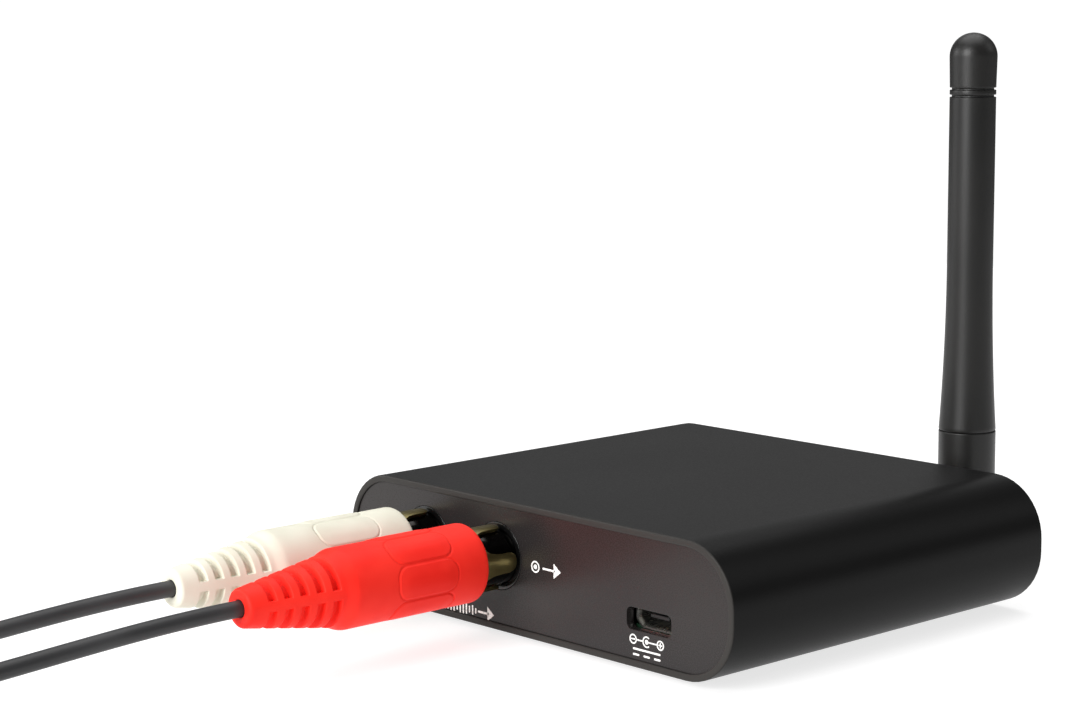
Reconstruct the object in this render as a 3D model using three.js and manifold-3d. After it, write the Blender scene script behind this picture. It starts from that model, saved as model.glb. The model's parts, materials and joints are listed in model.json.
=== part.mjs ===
// A Bluetooth audio receiver: an aluminium sleeve case with a circuit board, a jack panel at the front,
// a hinged whip aerial at the back, and two coiled phono leads plugged into its outputs.
// Millimetres, +Z up. The origin is on the surface it stands on, at the middle of the receiver's own box.
// The jack panel faces -Y and the aerial is at +Y.
import * as THREE from "three";
import { mergeVertices } from "three/addons/utils/BufferGeometryUtils.js";
import Module from "manifold-3d";

// ---- Case ----
const caseWidth = 83;
const caseHeight = 20;
const caseDepth = 69;
const caseCorner = 9; // outer radius of the four long edges
const caseWall = 1.1;
const cornerSteps = 10; // facets in a quarter of a round long edge
const footHeight = 0.8;
const footRadius = 4;
const footFromEnd = 10; // from a case end to the centre of a foot
const footFromCorner = 4; // from the start of the round edge to the rim of a foot

// ---- End panels ----
const panelThickness = 1.5;
const panelRecess = 0.35; // how far the panels sit inside the ends of the case
const panelGap = 0.15; // round the panel, inside the case
const clipWidth = 8;
const clipThickness = 1.2;
const clipLength = 6;
const clipBead = 0.45; // height of the bead that snaps into the case wall
const clipBeadLength = 1;
const clipSpacing = 54; // between the two clips of a pair
const pocketPlay = 0.15; // round a bead in its pocket

// ---- Board ----
const boardThickness = 1.6;
const boardLift = 4.05; // underside of the board above the inside bottom of the case profile's base line
const boardPlay = 0.5; // from the board's edge to the case wall
const boardEndGap = 0.4; // from the board to a panel
const railDepth = 1.4; // how far a rail covers the board's edge
const railHeight = 1;
const railGap = 0.15; // between a rail and the board
const seat = 0.05; // the gap left between pieces that rest on each other

// ---- Phono sockets, on the jack panel ----
const socketSpacing = 16.4;
const socketMidX = -15; // half way between the two sockets
const socketRise = 5.68; // axis above the board's top
const barrelRadius = 4.15;
const barrelWall = 0.6;
const barrelReach = 9; // in front of the panel
const barrelDepth = 8; // behind the panel's face
const bossWall = 0.9; // round a barrel's bore
const holePlay = 0.15; // round a boss or stem in its panel hole
const slipGap = 0.1; // between round pieces that slide in each other
const fixGap = 0.05; // between round pieces that are fixed in each other
const contactWall = 0.3;
const blockMargin = 2.7; // from a boss to the side of the block
const blockAbove = 0.4; // from a boss to the top of the block
const blockDepth = 10;
const clipClearance = 0.3; // under a clip that passes over the block

// ---- Phono plugs and leads ----
const plugMouthWall = 1.1; // round the ring, at the plug's mouth
const plugStandOff = 6.7; // from the panel to the plug's moulded body
const plugGripLength = 24.8;
const bootLength = 15.7;
const bootStartRadius = 5.3;
const bootEndRadius = 2.6;
const plugEdge = 0.6; // rounding of the moulded body's mouth
const ringWall = 0.6;
const ringReach = 6.2; // in front of the moulded body
const ringSocket = 4.2; // inside the moulded body
const ringSlotDepth = 5.6;
const ringSlotWidth = 3.7;
const ringSlots = 2; // each goes across the ring, so they leave four fingers
const plugCoreThickness = 1.2;
const pinRadius = 1.6;
const pinReach = 11.6; // in front of the moulded body
const pinNose = 1.2;
const cordDiameter = 2.4;
const cordSides = 8;
const coilTurnsAcross = 3;
const coilTurnsHigh = 4;
const coilMeanRadius = 13.1;
const coilDistance = 116; // from the panel's face to the middle of a coil
const farPlugDistance = 141; // from the panel's face to the cord end of a far plug
const tieThickness = 0.4;
const tieWidth = 5;
const tieGap = 0.3;
const leadGap = 0.3; // between the separate solids of one lead

// ---- USB socket, on the jack panel ----
const usbFromSide = 16.5; // from the side of the case to the socket's middle
const usbWidth = 7.5;
const usbHeight = 2.5;
const usbSlant = 0.9;
const usbWall = 0.3;
const usbLength = 5.2;
const usbWindowWidth = 8.8;
const usbWindowHeight = 3.2;
const usbWindowCorner = 0.9;
const usbTongueWidth = 3.7;
const usbTongueThickness = 0.6;
const usbTongueLength = 3.4;

// ---- Aerial socket, on the aerial panel ----
const aerialX = 11.6;
const socketStemRadius = 3.1;
const socketStemReach = 9.5; // outside the panel
const socketMouthRadius = 2.3;
const socketMouthDepth = 3.4;
const socketFlangeFlats = 8;
const socketFlangeThickness = 2;
const crimpRadius = 1.4;
const crimpLength = 3;
const washerThickness = 0.5;
const washerRadius = 4.4;
const nutFlats = 8;
const nutThickness = 1.8;

// ---- Aerial ----
const knuckleRadius = 4.7;
const couplingStart = 2.9; // from the aerial panel's face
const couplingLength = 8;
const couplingRadius = 4.5;
const couplingEndWall = 1;
const coreNeckRadius = 2.3;
const coreNeckDepth = 3; // inside the swivel base
const swivelFloor = 0.65; // between the neck's end and the foot of the tongue
const tongueThickness = 4.1;
const forkPlay = 0.15; // each side of the tongue
const hingePlay = 0.3; // round the tongue and the fork as they turn
const hingePinRadius = 1.2;
const hingePinPlay = 0.05;
const hingePinInset = 0.5; // from the knuckle's side to the end of the pin
const seamRise = 12; // from the tilt pivot to the cover's lower edge
const spigotRadius = 2.9;
const spigotLength = 5;
const coverReach = 77.5; // from the tilt pivot to the top of the cover
const coverTubeRadius = 3.76;
const coverTipRadius = 3.87;
const coverFlareLength = 28;
const coverBore = 3;
const coverGrooveDrop = 9.1; // from the top of the cover to the first groove
const coverGrooveWidth = 0.4;
const coverGrooveDepth = 0.35;
const coverGroovePitch = 1.15;
const radiatorRadius = 2.3;
const radiatorWall = 0.3;
const radiatorLength = 30;

// ---- Parts on the board ----
const moduleWidth = 13;
const moduleLength = 26;
const moduleThickness = 0.8;
const shieldHeight = 1.9;
const shieldInset = 0.6;
const shieldLength = 17;
const chipSide = 7;
const chipHeight = 1;
const capacitorRadius = 3.15;
const capacitorHeight = 7.7;
const coaxRadius = 0.6;
const coaxPlugRadius = 1.2;
const coaxPlugHeight = 1.1;
const ledSide = 2;
const ledHeight = 3;
const lightPipeRadius = 1.5;
const lightPipeX = -20;
const lightPipeHead = 0.4; // in front of the aerial panel

const roundSides = 20;
const fineSides = 28;

// ---- Places that follow from the sizes ----
const barrelPastCase = barrelReach - panelRecess;
const couplingEnd = couplingStart + couplingLength;
const swivelStart = couplingEnd + hingePlay;
const coreEnd = swivelStart + coreNeckDepth;
const shoulder = knuckleRadius + hingePlay; // from the tilt pivot to where a round body may start
const pivotOut = coreEnd + swivelFloor + shoulder; // from the aerial panel's face to the pivot
const receiverLength = barrelPastCase + caseDepth - panelRecess + pivotOut + knuckleRadius;
const caseFront = -receiverLength / 2 + barrelPastCase;
const caseBack = caseFront + caseDepth;
const caseMidY = caseFront + caseDepth / 2;
const jackFace = caseFront + panelRecess;
const aerialFace = caseBack - panelRecess;
const caseMidZ = footHeight + caseHeight / 2;
const innerCorner = caseCorner - caseWall;
const boardBottom = footHeight + boardLift;
const boardTop = boardBottom + boardThickness;
const boardFront = jackFace + panelThickness + boardEndGap;
const boardBack = aerialFace - panelThickness - boardEndGap;
// The case wall is round where the board sits, so the board is as wide as the inside is at its underside.
const boardDrop = innerCorner - (boardLift - caseWall);
const boardHalfWidth =
  caseWidth / 2 - caseCorner + Math.sqrt(innerCorner ** 2 - boardDrop ** 2) - boardPlay;
const socketZ = boardTop + socketRise;
const usbX = caseWidth / 2 - usbFromSide;
const usbZ = boardTop + seat + usbHeight / 2;
const bossRadius = barrelRadius + fixGap + bossWall;
const plugLength = plugGripLength + bootLength;
const ringRadius = barrelRadius + slipGap + ringWall;
const plugRadius = ringRadius + plugMouthWall;
const coilOuterRadius = coilMeanRadius + (coilTurnsAcross * cordDiameter) / 2;
const coilInnerRadius = coilMeanRadius - (coilTurnsAcross * cordDiameter) / 2;
const coilHeight = coilTurnsHigh * cordDiameter;
const coilOffset = coilOuterRadius - cordDiameter / 2; // sideways from a plug's axis to its coil
const coilBottom = tieThickness + tieGap;

// ---- Small tools ----
const wasm = await Module();
wasm.setup();

/** The manifold-3d solid of a closed three.js geometry. */
function solidOf(geometry) {
  const bare = geometry.clone();
  bare.deleteAttribute("normal");
  bare.deleteAttribute("uv");
  const merged = mergeVertices(bare, 1e-4);
  return new wasm.Manifold(
    new wasm.Mesh({
      numProp: 3,
      vertProperties: new Float32Array(merged.attributes.position.array),
      triVerts: new Uint32Array(merged.index.array),
    }),
  );
}

/** The three.js geometry of a manifold-3d solid. */
function geometryOf(solid) {
  const mesh = solid.getMesh();
  const made = new THREE.BufferGeometry();
  made.setAttribute("position", new THREE.BufferAttribute(mesh.vertProperties, 3));
  made.setIndex(new THREE.BufferAttribute(mesh.triVerts, 1));
  const faceted = made.toNonIndexed();
  faceted.computeVertexNormals();
  return faceted;
}

const cut = (geometry, ...tools) =>
  geometryOf(tools.reduce((left, tool) => left.subtract(solidOf(tool)), solidOf(geometry)));
const join = (geometry, ...others) =>
  geometryOf(others.reduce((whole, other) => whole.add(solidOf(other)), solidOf(geometry)));
const common = (geometry, ...others) =>
  geometryOf(others.reduce((rest, other) => rest.intersect(solidOf(other)), solidOf(geometry)));

/** A box from its lowest to its highest corner. */
function block([x0, y0, z0], [x1, y1, z1]) {
  const made = new THREE.BoxGeometry(x1 - x0, y1 - y0, z1 - z0);
  return made.translate((x0 + x1) / 2, (y0 + y1) / 2, (z0 + z1) / 2);
}

/** A solid of revolution about the Y axis, from [radius, y] points. */
function turned(points, sides = roundSides) {
  return new THREE.LatheGeometry(
    points.map(([radius, y]) => new THREE.Vector2(radius, y)),
    sides,
  );
}

const rodY = (radius, y0, y1, sides) =>
  turned([[0, y0], [radius, y0], [radius, y1], [0, y1]], sides);
const tubeY = (inner, outer, y0, y1, sides) =>
  turned([[inner, y1], [inner, y0], [outer, y0], [outer, y1], [inner, y1]], sides);
const standing = (geometry) => geometry.rotateX(Math.PI / 2); // from along Y to along Z
const sideways = (geometry) => geometry.rotateZ(-Math.PI / 2); // from along Y to along X

/** A plane shape drawn in X and Z, carried along Y from y0 to y1. */
function plate(shape, y0, y1, curveSegments = 4) {
  const made = new THREE.ExtrudeGeometry(shape, {
    depth: y1 - y0,
    bevelEnabled: false,
    curveSegments,
  });
  return made.rotateX(Math.PI / 2).translate(0, y1, 0);
}

/** A rectangle with round corners about a centre. */
function roundedRectangle(width, height, corner, x = 0, z = 0, kind = THREE.Shape) {
  const made = new kind();
  const right = x + width / 2 - corner;
  const left = x - width / 2 + corner;
  const top = z + height / 2 - corner;
  const bottom = z - height / 2 + corner;
  made.absarc(right, bottom, corner, -Math.PI / 2, 0);
  made.absarc(right, top, corner, 0, Math.PI / 2);
  made.absarc(left, top, corner, Math.PI / 2, Math.PI);
  made.absarc(left, bottom, corner, Math.PI, 1.5 * Math.PI);
  made.closePath();
  return made;
}

/** A hexagon with the given distance across its flats. */
function hexagon(flats) {
  const made = new THREE.Shape();
  for (let i = 0; i < 6; i++) {
    const angle = (i * Math.PI) / 3;
    const radius = flats / Math.sqrt(3);
    made[i ? "lineTo" : "moveTo"](radius * Math.cos(angle), radius * Math.sin(angle));
  }
  made.closePath();
  return made;
}

/** A round cord along a smooth curve through points. */
function cordAlong(points, diameter, steps, sides = cordSides) {
  const section = new THREE.Shape(
    Array.from({ length: sides }, (_, i) => {
      const angle = (2 * Math.PI * i) / sides;
      return new THREE.Vector2(Math.cos(angle), Math.sin(angle)).multiplyScalar(diameter / 2);
    }),
  );
  return new THREE.ExtrudeGeometry(section, {
    steps,
    bevelEnabled: false,
    extrudePath: new THREE.CatmullRomCurve3(
      points.map((point) => new THREE.Vector3(...point)),
      false,
      "centripetal",
    ),
  });
}

/** A plain material. */
const paint = (color, roughness, metalness = 0) =>
  new THREE.MeshStandardMaterial({ color, roughness, metalness });

const blackAluminium = paint(0x242424, 0.45, 0.7);
const darkPanel = paint(0x3b3735, 0.6);
const blackRubber = paint(0x151515, 0.85);
const blackPlastic = paint(0x060606, 0.25);
const aerialPlastic = paint(0x1f1e1d, 0.55);
const boardGreen = paint(0x16401f, 0.5);
const gold = paint(0xc9a64a, 0.3, 1);
const nickel = paint(0xb8b8b4, 0.3, 1);
const blackNickel = paint(0x0c0c0c, 0.2, 1);
const whitePlastic = paint(0xe9e4d4, 0.5);
const redPlastic = paint(0xd92418, 0.5);
const clearPlastic = paint(0xdde6ea, 0.15);
const cordJacket = paint(0x2b2b2b, 0.6);

const receiver = new THREE.Group();

/** Adds a named piece to a group. */
function piece(group, name, geometry, material, place = [0, 0, 0]) {
  const made = new THREE.Mesh(geometry, material);
  made.name = name;
  made.position.set(...place);
  group.add(made);
  return made;
}

// ---- Case sleeve: one extruded profile with a pair of rails down each side for the board ----
const outerOutline = () => roundedRectangle(caseWidth, caseHeight, caseCorner, 0, caseMidZ);
const innerWidth = caseWidth - 2 * caseWall;
const innerHeight = caseHeight - 2 * caseWall;

/** The two clips of a panel's top or bottom pair, as [x centre, z of the wall, direction to the wall]. */
const clipPlaces = [-1, 1].flatMap((side) =>
  [-1, 1].map((up) => [(side * clipSpacing) / 2, caseMidZ + (up * innerHeight) / 2, up]),
);

function caseSleeve() {
  const outline = outerOutline();
  outline.holes.push(
    roundedRectangle(innerWidth, innerHeight, innerCorner, 0, caseMidZ, THREE.Path),
  );
  const shell = plate(outline, caseFront, caseBack, cornerSteps);
  const whole = plate(outerOutline(), caseFront, caseBack, cornerSteps);
  const railFront = jackFace + panelThickness + railGap;
  const railBack = aerialFace - panelThickness - railGap;
  const railInner = boardHalfWidth - railDepth;
  const rails = [];
  for (const side of [-1, 1]) {
    for (const [low, high] of [
      [boardBottom - railGap - railHeight, boardBottom - railGap],
      [boardTop + railGap, boardTop + railGap + railHeight],
    ]) {
      const xs = [side * railInner, (side * caseWidth) / 2].sort((a, b) => a - b);
      const bar = block([xs[0], railFront, low], [xs[1], railBack, high]);
      rails.push(common(bar, whole));
    }
  }
  const pockets = clipPlaces.flatMap(([x, z, up]) =>
    [
      jackFace + panelThickness + clipLength - clipBeadLength,
      aerialFace - panelThickness - clipLength,
    ].map((y) => {
      const zs = [z - up * panelGap, z + up * (clipBead - panelGap + pocketPlay)].sort((a, b) => a - b);
      const half = clipWidth / 2 + pocketPlay;
      return block(
        [x - half, y - pocketPlay, zs[0]],
        [x + half, y + clipBeadLength + pocketPlay, zs[1]],
      );
    }),
  );
  return cut(join(shell, ...rails), ...pockets);
}
piece(receiver, "case_sleeve", caseSleeve(), blackAluminium);

// ---- End panels: plates that drop inside the sleeve and hold it with four snap clips each ----
function panel(face, inwards, holes) {
  const outline = roundedRectangle(
    innerWidth - 2 * panelGap,
    innerHeight - 2 * panelGap,
    innerCorner - panelGap,
    0,
    caseMidZ,
  );
  const [low, high] = [face, face + inwards * panelThickness].sort((a, b) => a - b);
  const clips = clipPlaces.flatMap(([x, z, up]) => {
    const root = face + (inwards * panelThickness) / 2;
    const tip = face + inwards * (panelThickness + clipLength);
    const bead = tip - inwards * clipBeadLength;
    const outside = z - up * panelGap;
    const box = (y0, y1, z0, z1) =>
      block(
        [x - clipWidth / 2, Math.min(y0, y1), Math.min(z0, z1)],
        [x + clipWidth / 2, Math.max(y0, y1), Math.max(z0, z1)],
      );
    return [
      box(root, tip, outside - up * clipThickness, outside),
      box(bead, tip, outside - up * clipThickness, outside + up * clipBead),
    ];
  });
  return cut(join(plate(outline, low, high, cornerSteps), ...clips), ...holes);
}

const socketXs = { left: socketMidX - socketSpacing / 2, right: socketMidX + socketSpacing / 2 };
const through = 1; // how far a hole's tool stands past each face
const bossHole = (x) =>
  rodY(bossRadius + holePlay, jackFace - through, jackFace + panelThickness + through).translate(
    x,
    0,
    socketZ,
  );
const usbWindow = plate(
  roundedRectangle(usbWindowWidth, usbWindowHeight, usbWindowCorner, usbX, usbZ),
  jackFace - through,
  jackFace + panelThickness + through,
);
piece(
  receiver,
  "jack_panel",
  panel(jackFace, 1, [bossHole(socketXs.left), bossHole(socketXs.right), usbWindow]),
  darkPanel,
);
const stemHole = rodY(
  socketStemRadius + holePlay,
  aerialFace - panelThickness - through,
  aerialFace + through,
).translate(aerialX, 0, caseMidZ);
const lightPipeHole = rodY(
  lightPipeRadius + holePlay,
  aerialFace - panelThickness - through,
  aerialFace + through,
).translate(lightPipeX, 0, caseMidZ);
piece(receiver, "aerial_panel", panel(aerialFace, -1, [stemHole, lightPipeHole]), darkPanel);

// ---- Feet ----
const footX = caseWidth / 2 - caseCorner - footFromCorner - footRadius;
const footY = caseDepth / 2 - footFromEnd;
for (const [name, x, y] of [
  ["foot_front_left", -footX, -footY],
  ["foot_front_right", footX, -footY],
  ["foot_back_left", -footX, footY],
  ["foot_back_right", footX, footY],
]) {
  const disc = standing(rodY(footRadius, 0, footHeight));
  piece(receiver, name, disc, blackRubber, [x, caseMidY + y, 0]);
}

// ---- Circuit board, held by the rails ----
piece(
  receiver,
  "circuit_board",
  block([-boardHalfWidth, boardFront, boardBottom], [boardHalfWidth, boardBack, boardTop]),
  boardGreen,
);

// ---- Phono sockets: one black block with two bosses, and a barrel, liner and centre contact in each ----
const blockFront = panelThickness + seat; // behind the panel's face
const bore = barrelRadius + fixGap;
const blockSide = bossRadius + blockMargin; // from a socket axis to the side of the block
const linerRadius = barrelRadius - barrelWall - fixGap;
const contactRadius = pinRadius + slipGap + contactWall;
const socketBlock = cut(
  join(
    block(
      [socketXs.left - blockSide, jackFace + blockFront, boardTop + seat],
      [
        socketXs.right + blockSide,
        jackFace + blockFront + blockDepth,
        socketZ + bossRadius + blockAbove,
      ],
    ),
    ...Object.values(socketXs).map((x) =>
      rodY(bossRadius, jackFace, jackFace + blockFront + seat).translate(x, 0, socketZ),
    ),
  ),
  ...Object.values(socketXs).map((x) =>
    rodY(bore, jackFace - through, jackFace + barrelDepth + fixGap).translate(x, 0, socketZ),
  ),
  ...clipPlaces
    .filter(([, , up]) => up > 0)
    .map(([x, z]) =>
      block(
        [
          x - clipWidth / 2 - clipClearance,
          jackFace + panelThickness,
          z - panelGap - clipThickness - clipClearance,
        ],
        [
          x + clipWidth / 2 + clipClearance,
          jackFace + panelThickness + clipLength + clipClearance,
          z + through,
        ],
      ),
    ),
);
piece(receiver, "socket_block", socketBlock, blackPlastic);
for (const [side, x] of Object.entries(socketXs)) {
  const socket = new THREE.Group();
  socket.position.set(x, jackFace, socketZ);
  receiver.add(socket);
  piece(
    socket,
    `${side}_socket_barrel`,
    tubeY(barrelRadius - barrelWall, barrelRadius, -barrelReach, barrelDepth),
    blackNickel,
  );
  const linerFront = -barrelReach + 0.3;
  piece(
    socket,
    `${side}_socket_liner`,
    tubeY(contactRadius + fixGap, linerRadius, linerFront, barrelDepth - fixGap),
    side === "left" ? whitePlastic : redPlastic,
  );
  const contactFront = linerFront + 0.6;
  const contactBack = barrelDepth - fixGap;
  piece(
    socket,
    `${side}_socket_contact`,
    turned([
      [0, contactBack - contactWall],
      [pinRadius + slipGap, contactBack - contactWall],
      [pinRadius + slipGap, contactFront],
      [contactRadius, contactFront],
      [contactRadius, contactBack],
      [0, contactBack],
    ]),
    gold,
  );
}

// ---- USB power socket: a bent steel shell round a moulded tongue ----
function usbOutline(shrink, kind = THREE.Shape) {
  const half = usbWidth / 2 - shrink;
  const top = usbHeight / 2 - shrink;
  const made = new kind();
  made.moveTo(-half, top);
  made.lineTo(-half, -top + usbSlant);
  made.lineTo(-half + usbSlant, -top);
  made.lineTo(half - usbSlant, -top);
  made.lineTo(half, -top + usbSlant);
  made.lineTo(half, top);
  made.closePath();
  return made;
}
const usbShellOutline = usbOutline(0);
usbShellOutline.holes.push(usbOutline(usbWall, THREE.Path));
const usbFront = jackFace + blockFront;
piece(receiver, "usb_shell", plate(usbShellOutline, 0, usbLength), nickel, [usbX, usbFront, usbZ]);
const usbCoreStart = usbLength - usbTongueLength / 3;
const usbTongue = join(
  plate(usbOutline(usbWall + fixGap), usbCoreStart, usbLength),
  block(
    [-usbTongueWidth / 2, usbCoreStart - usbTongueLength, 0],
    [usbTongueWidth / 2, usbCoreStart + usbWall, usbTongueThickness],
  ),
);
piece(receiver, "usb_tongue", usbTongue, blackPlastic, [usbX, usbFront, usbZ]);

// ---- Radio module, audio chip and capacitors on the board ----
const onBoard = boardTop + seat;
const moduleX = aerialX - moduleWidth;
const moduleBack = boardBack - 8;
piece(
  receiver,
  "radio_module",
  block([0, 0, 0], [moduleWidth, moduleLength, moduleThickness]),
  boardGreen,
  [moduleX, moduleBack - moduleLength, onBoard],
);
piece(
  receiver,
  "module_shield",
  block([0, 0, 0], [moduleWidth - 2 * shieldInset, shieldLength, shieldHeight]),
  nickel,
  [moduleX + shieldInset, moduleBack - moduleLength + shieldInset, onBoard + moduleThickness + seat],
);
piece(
  receiver,
  "audio_chip",
  block([-chipSide / 2, -chipSide / 2, 0], [chipSide / 2, chipSide / 2, chipHeight]),
  blackPlastic,
  [socketMidX, caseMidY, onBoard],
);
for (const [name, x] of [
  ["left_coupling_capacitor", socketMidX - 2 * capacitorRadius],
  ["right_coupling_capacitor", socketMidX + 2 * capacitorRadius],
]) {
  const can = standing(rodY(capacitorRadius, 0, capacitorHeight));
  piece(receiver, name, can, nickel, [x, caseMidY - chipSide / 2 - 2 * capacitorRadius, onBoard]);
}

// ---- Power light: a lamp on the board and a clear pipe to the aerial panel ----
const lampFace = aerialFace - panelThickness - boardEndGap;
const lampBottom = onBoard;
piece(
  receiver,
  "power_lamp",
  block([-ledSide / 2, -ledSide, 0], [ledSide / 2, 0, ledHeight + (caseMidZ - onBoard - ledHeight / 2)]),
  whitePlastic,
  [lightPipeX, lampFace - seat, lampBottom],
);
piece(
  receiver,
  "light_pipe",
  rodY(lightPipeRadius, lampFace - aerialFace, lightPipeHead),
  clearPlastic,
  [lightPipeX, aerialFace, caseMidZ],
);

// ---- Aerial socket: a threaded stem through the panel with a washer and a nut outside ----
const aerialLine = new THREE.Group(); // along +Y from the aerial panel's face
aerialLine.position.set(aerialX, aerialFace, caseMidZ);
receiver.add(aerialLine);
const flangeBack = -panelThickness - seat - socketFlangeThickness;
const aerialSocket = join(
  plate(hexagon(socketFlangeFlats), flangeBack, -panelThickness - seat),
  turned([
    [0, flangeBack - crimpLength],
    [crimpRadius, flangeBack - crimpLength],
    [crimpRadius, flangeBack + 0.5],
    [socketStemRadius, flangeBack + 0.5],
    [socketStemRadius, socketStemReach],
    [socketMouthRadius, socketStemReach],
    [socketMouthRadius, socketStemReach - socketMouthDepth],
    [0, socketStemReach - socketMouthDepth],
  ]),
);
piece(aerialLine, "aerial_socket", aerialSocket, gold);
piece(
  aerialLine,
  "lock_washer",
  tubeY(socketStemRadius + slipGap, washerRadius, seat, seat + washerThickness),
  nickel,
);
const nutStart = 2 * seat + washerThickness;
const nutOutline = hexagon(nutFlats);
piece(
  aerialLine,
  "panel_nut",
  cut(
    plate(nutOutline, nutStart, nutStart + nutThickness),
    rodY(socketStemRadius + slipGap, 0, nutStart + nutThickness + through),
  ),
  gold,
);

// ---- Coax pigtail from the aerial socket to the radio module ----
const pigtailStart = [aerialX, aerialFace + flangeBack - crimpLength - seat, caseMidZ];
const pigtailPlugPlace = [
  moduleX + moduleWidth / 2,
  moduleBack - moduleLength + shieldInset + shieldLength + 2 * coaxPlugRadius,
  onBoard + moduleThickness + seat,
];
piece(
  receiver,
  "pigtail_plug",
  standing(rodY(coaxPlugRadius, 0, coaxPlugHeight)),
  gold,
  pigtailPlugPlace,
);
const pigtailEnd = [
  pigtailPlugPlace[0] + coaxPlugRadius + 2 * seat,
  pigtailPlugPlace[1],
  pigtailPlugPlace[2] + coaxRadius + seat,
];
const pigtailBend = 4; // how far the coax runs straight out of each end
const pigtailPoints = [
  pigtailStart,
  [pigtailStart[0], pigtailStart[1] - pigtailBend / 2, pigtailStart[2]],
  [
    (pigtailStart[0] + pigtailEnd[0]) / 2 + pigtailBend,
    (pigtailStart[1] + pigtailEnd[1]) / 2,
    (pigtailStart[2] + pigtailEnd[2]) / 2,
  ],
  [pigtailEnd[0] + pigtailBend / 2, pigtailEnd[1], pigtailEnd[2]],
  pigtailEnd,
];
piece(receiver, "pigtail_coax", cordAlong(pigtailPoints, 2 * coaxRadius, 14), blackPlastic);

// ---- Aerial coupling: a captive knurled nut round the plug core ----
const couplingFloor = couplingEnd - couplingEndWall;
piece(
  aerialLine,
  "coupling_nut",
  turned([
    [coreNeckRadius + slipGap, couplingEnd],
    [coreNeckRadius + slipGap, couplingFloor],
    [socketStemRadius + slipGap, couplingFloor],
    [socketStemRadius + slipGap, couplingStart],
    [couplingRadius, couplingStart],
    [couplingRadius, couplingEnd],
    [coreNeckRadius + slipGap, couplingEnd],
  ]),
  gold,
);
const coreFlangeFloor = socketStemReach + seat;
piece(
  aerialLine,
  "aerial_plug_core",
  turned([
    [0, socketStemReach - socketMouthDepth + slipGap],
    [socketMouthRadius - slipGap, socketStemReach - socketMouthDepth + slipGap],
    [socketMouthRadius - slipGap, coreFlangeFloor],
    [socketStemRadius - slipGap, coreFlangeFloor],
    [socketStemRadius - slipGap, couplingFloor - seat],
    [coreNeckRadius, couplingFloor - seat],
    [coreNeckRadius, coreEnd],
    [0, coreEnd],
  ]),
  gold,
);

// ---- Aerial hinge: a swivel base with a tongue, and a forked knuckle that tilts on a pin ----
const wide = 2 * knuckleRadius;
const hingeDisc = () => sideways(rodY(knuckleRadius, -wide, wide, fineSides));

function swivelBase() {
  const pivot = pivotOut;
  const round = rodY(knuckleRadius, swivelStart, pivot + knuckleRadius, fineSides);
  const behind = block([-wide, 0, -wide], [wide, pivot, wide]);
  const ended = common(round, join(behind, hingeDisc().translate(0, pivot, 0)));
  const beside = [-1, 1].map((side) => {
    const xs = [(side * tongueThickness) / 2, side * wide].sort((a, b) => a - b);
    return block([xs[0], pivot - shoulder, -wide], [xs[1], pivot + wide, wide]);
  });
  return cut(
    ended,
    ...beside,
    rodY(coreNeckRadius + slipGap, 0, coreEnd + slipGap),
    sideways(rodY(hingePinRadius + hingePinPlay, -wide, wide)).translate(0, pivot, 0),
  );
}
piece(aerialLine, "swivel_base", swivelBase(), aerialPlastic);

const arm = new THREE.Group(); // standing on the tilt pivot
arm.position.set(0, pivotOut, 0);
aerialLine.add(arm);

function forkKnuckle() {
  const round = standing(rodY(knuckleRadius, -knuckleRadius, seamRise - seat, fineSides));
  const above = block([-wide, -wide, 0], [wide, wide, seamRise]);
  const ended = common(round, join(above, hingeDisc()));
  const spigot = standing(rodY(spigotRadius, seamRise - 1, seamRise + spigotLength));
  const slot = block(
    [-tongueThickness / 2 - forkPlay, -wide, -wide],
    [tongueThickness / 2 + forkPlay, wide, shoulder],
  );
  return cut(join(ended, spigot), slot, sideways(rodY(hingePinRadius + hingePinPlay, -wide, wide)));
}
piece(arm, "fork_knuckle", forkKnuckle(), aerialPlastic);
piece(
  arm,
  "hinge_pin",
  sideways(rodY(hingePinRadius, -knuckleRadius + hingePinInset, knuckleRadius - hingePinInset)),
  nickel,
);

// ---- Aerial cover: a flared, grooved plastic sleeve with a round tip, over a brass radiator ----
function coverProfile() {
  const points = [[0, coverReach - 4], [coverBore, coverReach - 4], [coverBore, seamRise]];
  const flareSteps = 7;
  for (let i = 0; i <= flareSteps; i++) {
    const left = 1 - i / flareSteps; // 1 at the seam, 0 where the tube starts
    points.push([
      coverTubeRadius + (knuckleRadius - coverTubeRadius) * left ** 2,
      seamRise + (1 - left) * coverFlareLength,
    ]);
  }
  for (const groove of [1, 0]) {
    const middle = coverReach - coverGrooveDrop - groove * coverGroovePitch;
    for (const [depth, rise] of [
      [0, -0.5],
      [coverGrooveDepth, -0.5],
      [coverGrooveDepth, 0.5],
      [0, 0.5],
    ]) {
      points.push([coverTubeRadius - depth, middle + rise * coverGrooveWidth]);
    }
  }
  const domeSteps = 6;
  const domeBase = coverReach - coverTipRadius;
  points.push([coverTipRadius, coverReach - coverGrooveDrop + coverGrooveWidth]);
  for (let i = 0; i <= domeSteps; i++) {
    const angle = (i * Math.PI) / 2 / domeSteps;
    points.push([coverTipRadius * Math.cos(angle), domeBase + coverTipRadius * Math.sin(angle)]);
  }
  points[points.length - 1][0] = 0;
  return points;
}
piece(arm, "aerial_cover", standing(turned(coverProfile())), aerialPlastic);
const radiatorStart = seamRise + spigotLength + 2;
piece(
  arm,
  "radiator_tube",
  standing(
    tubeY(
      radiatorRadius - radiatorWall,
      radiatorRadius,
      radiatorStart,
      radiatorStart + radiatorLength,
    ),
  ),
  gold,
);

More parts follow.
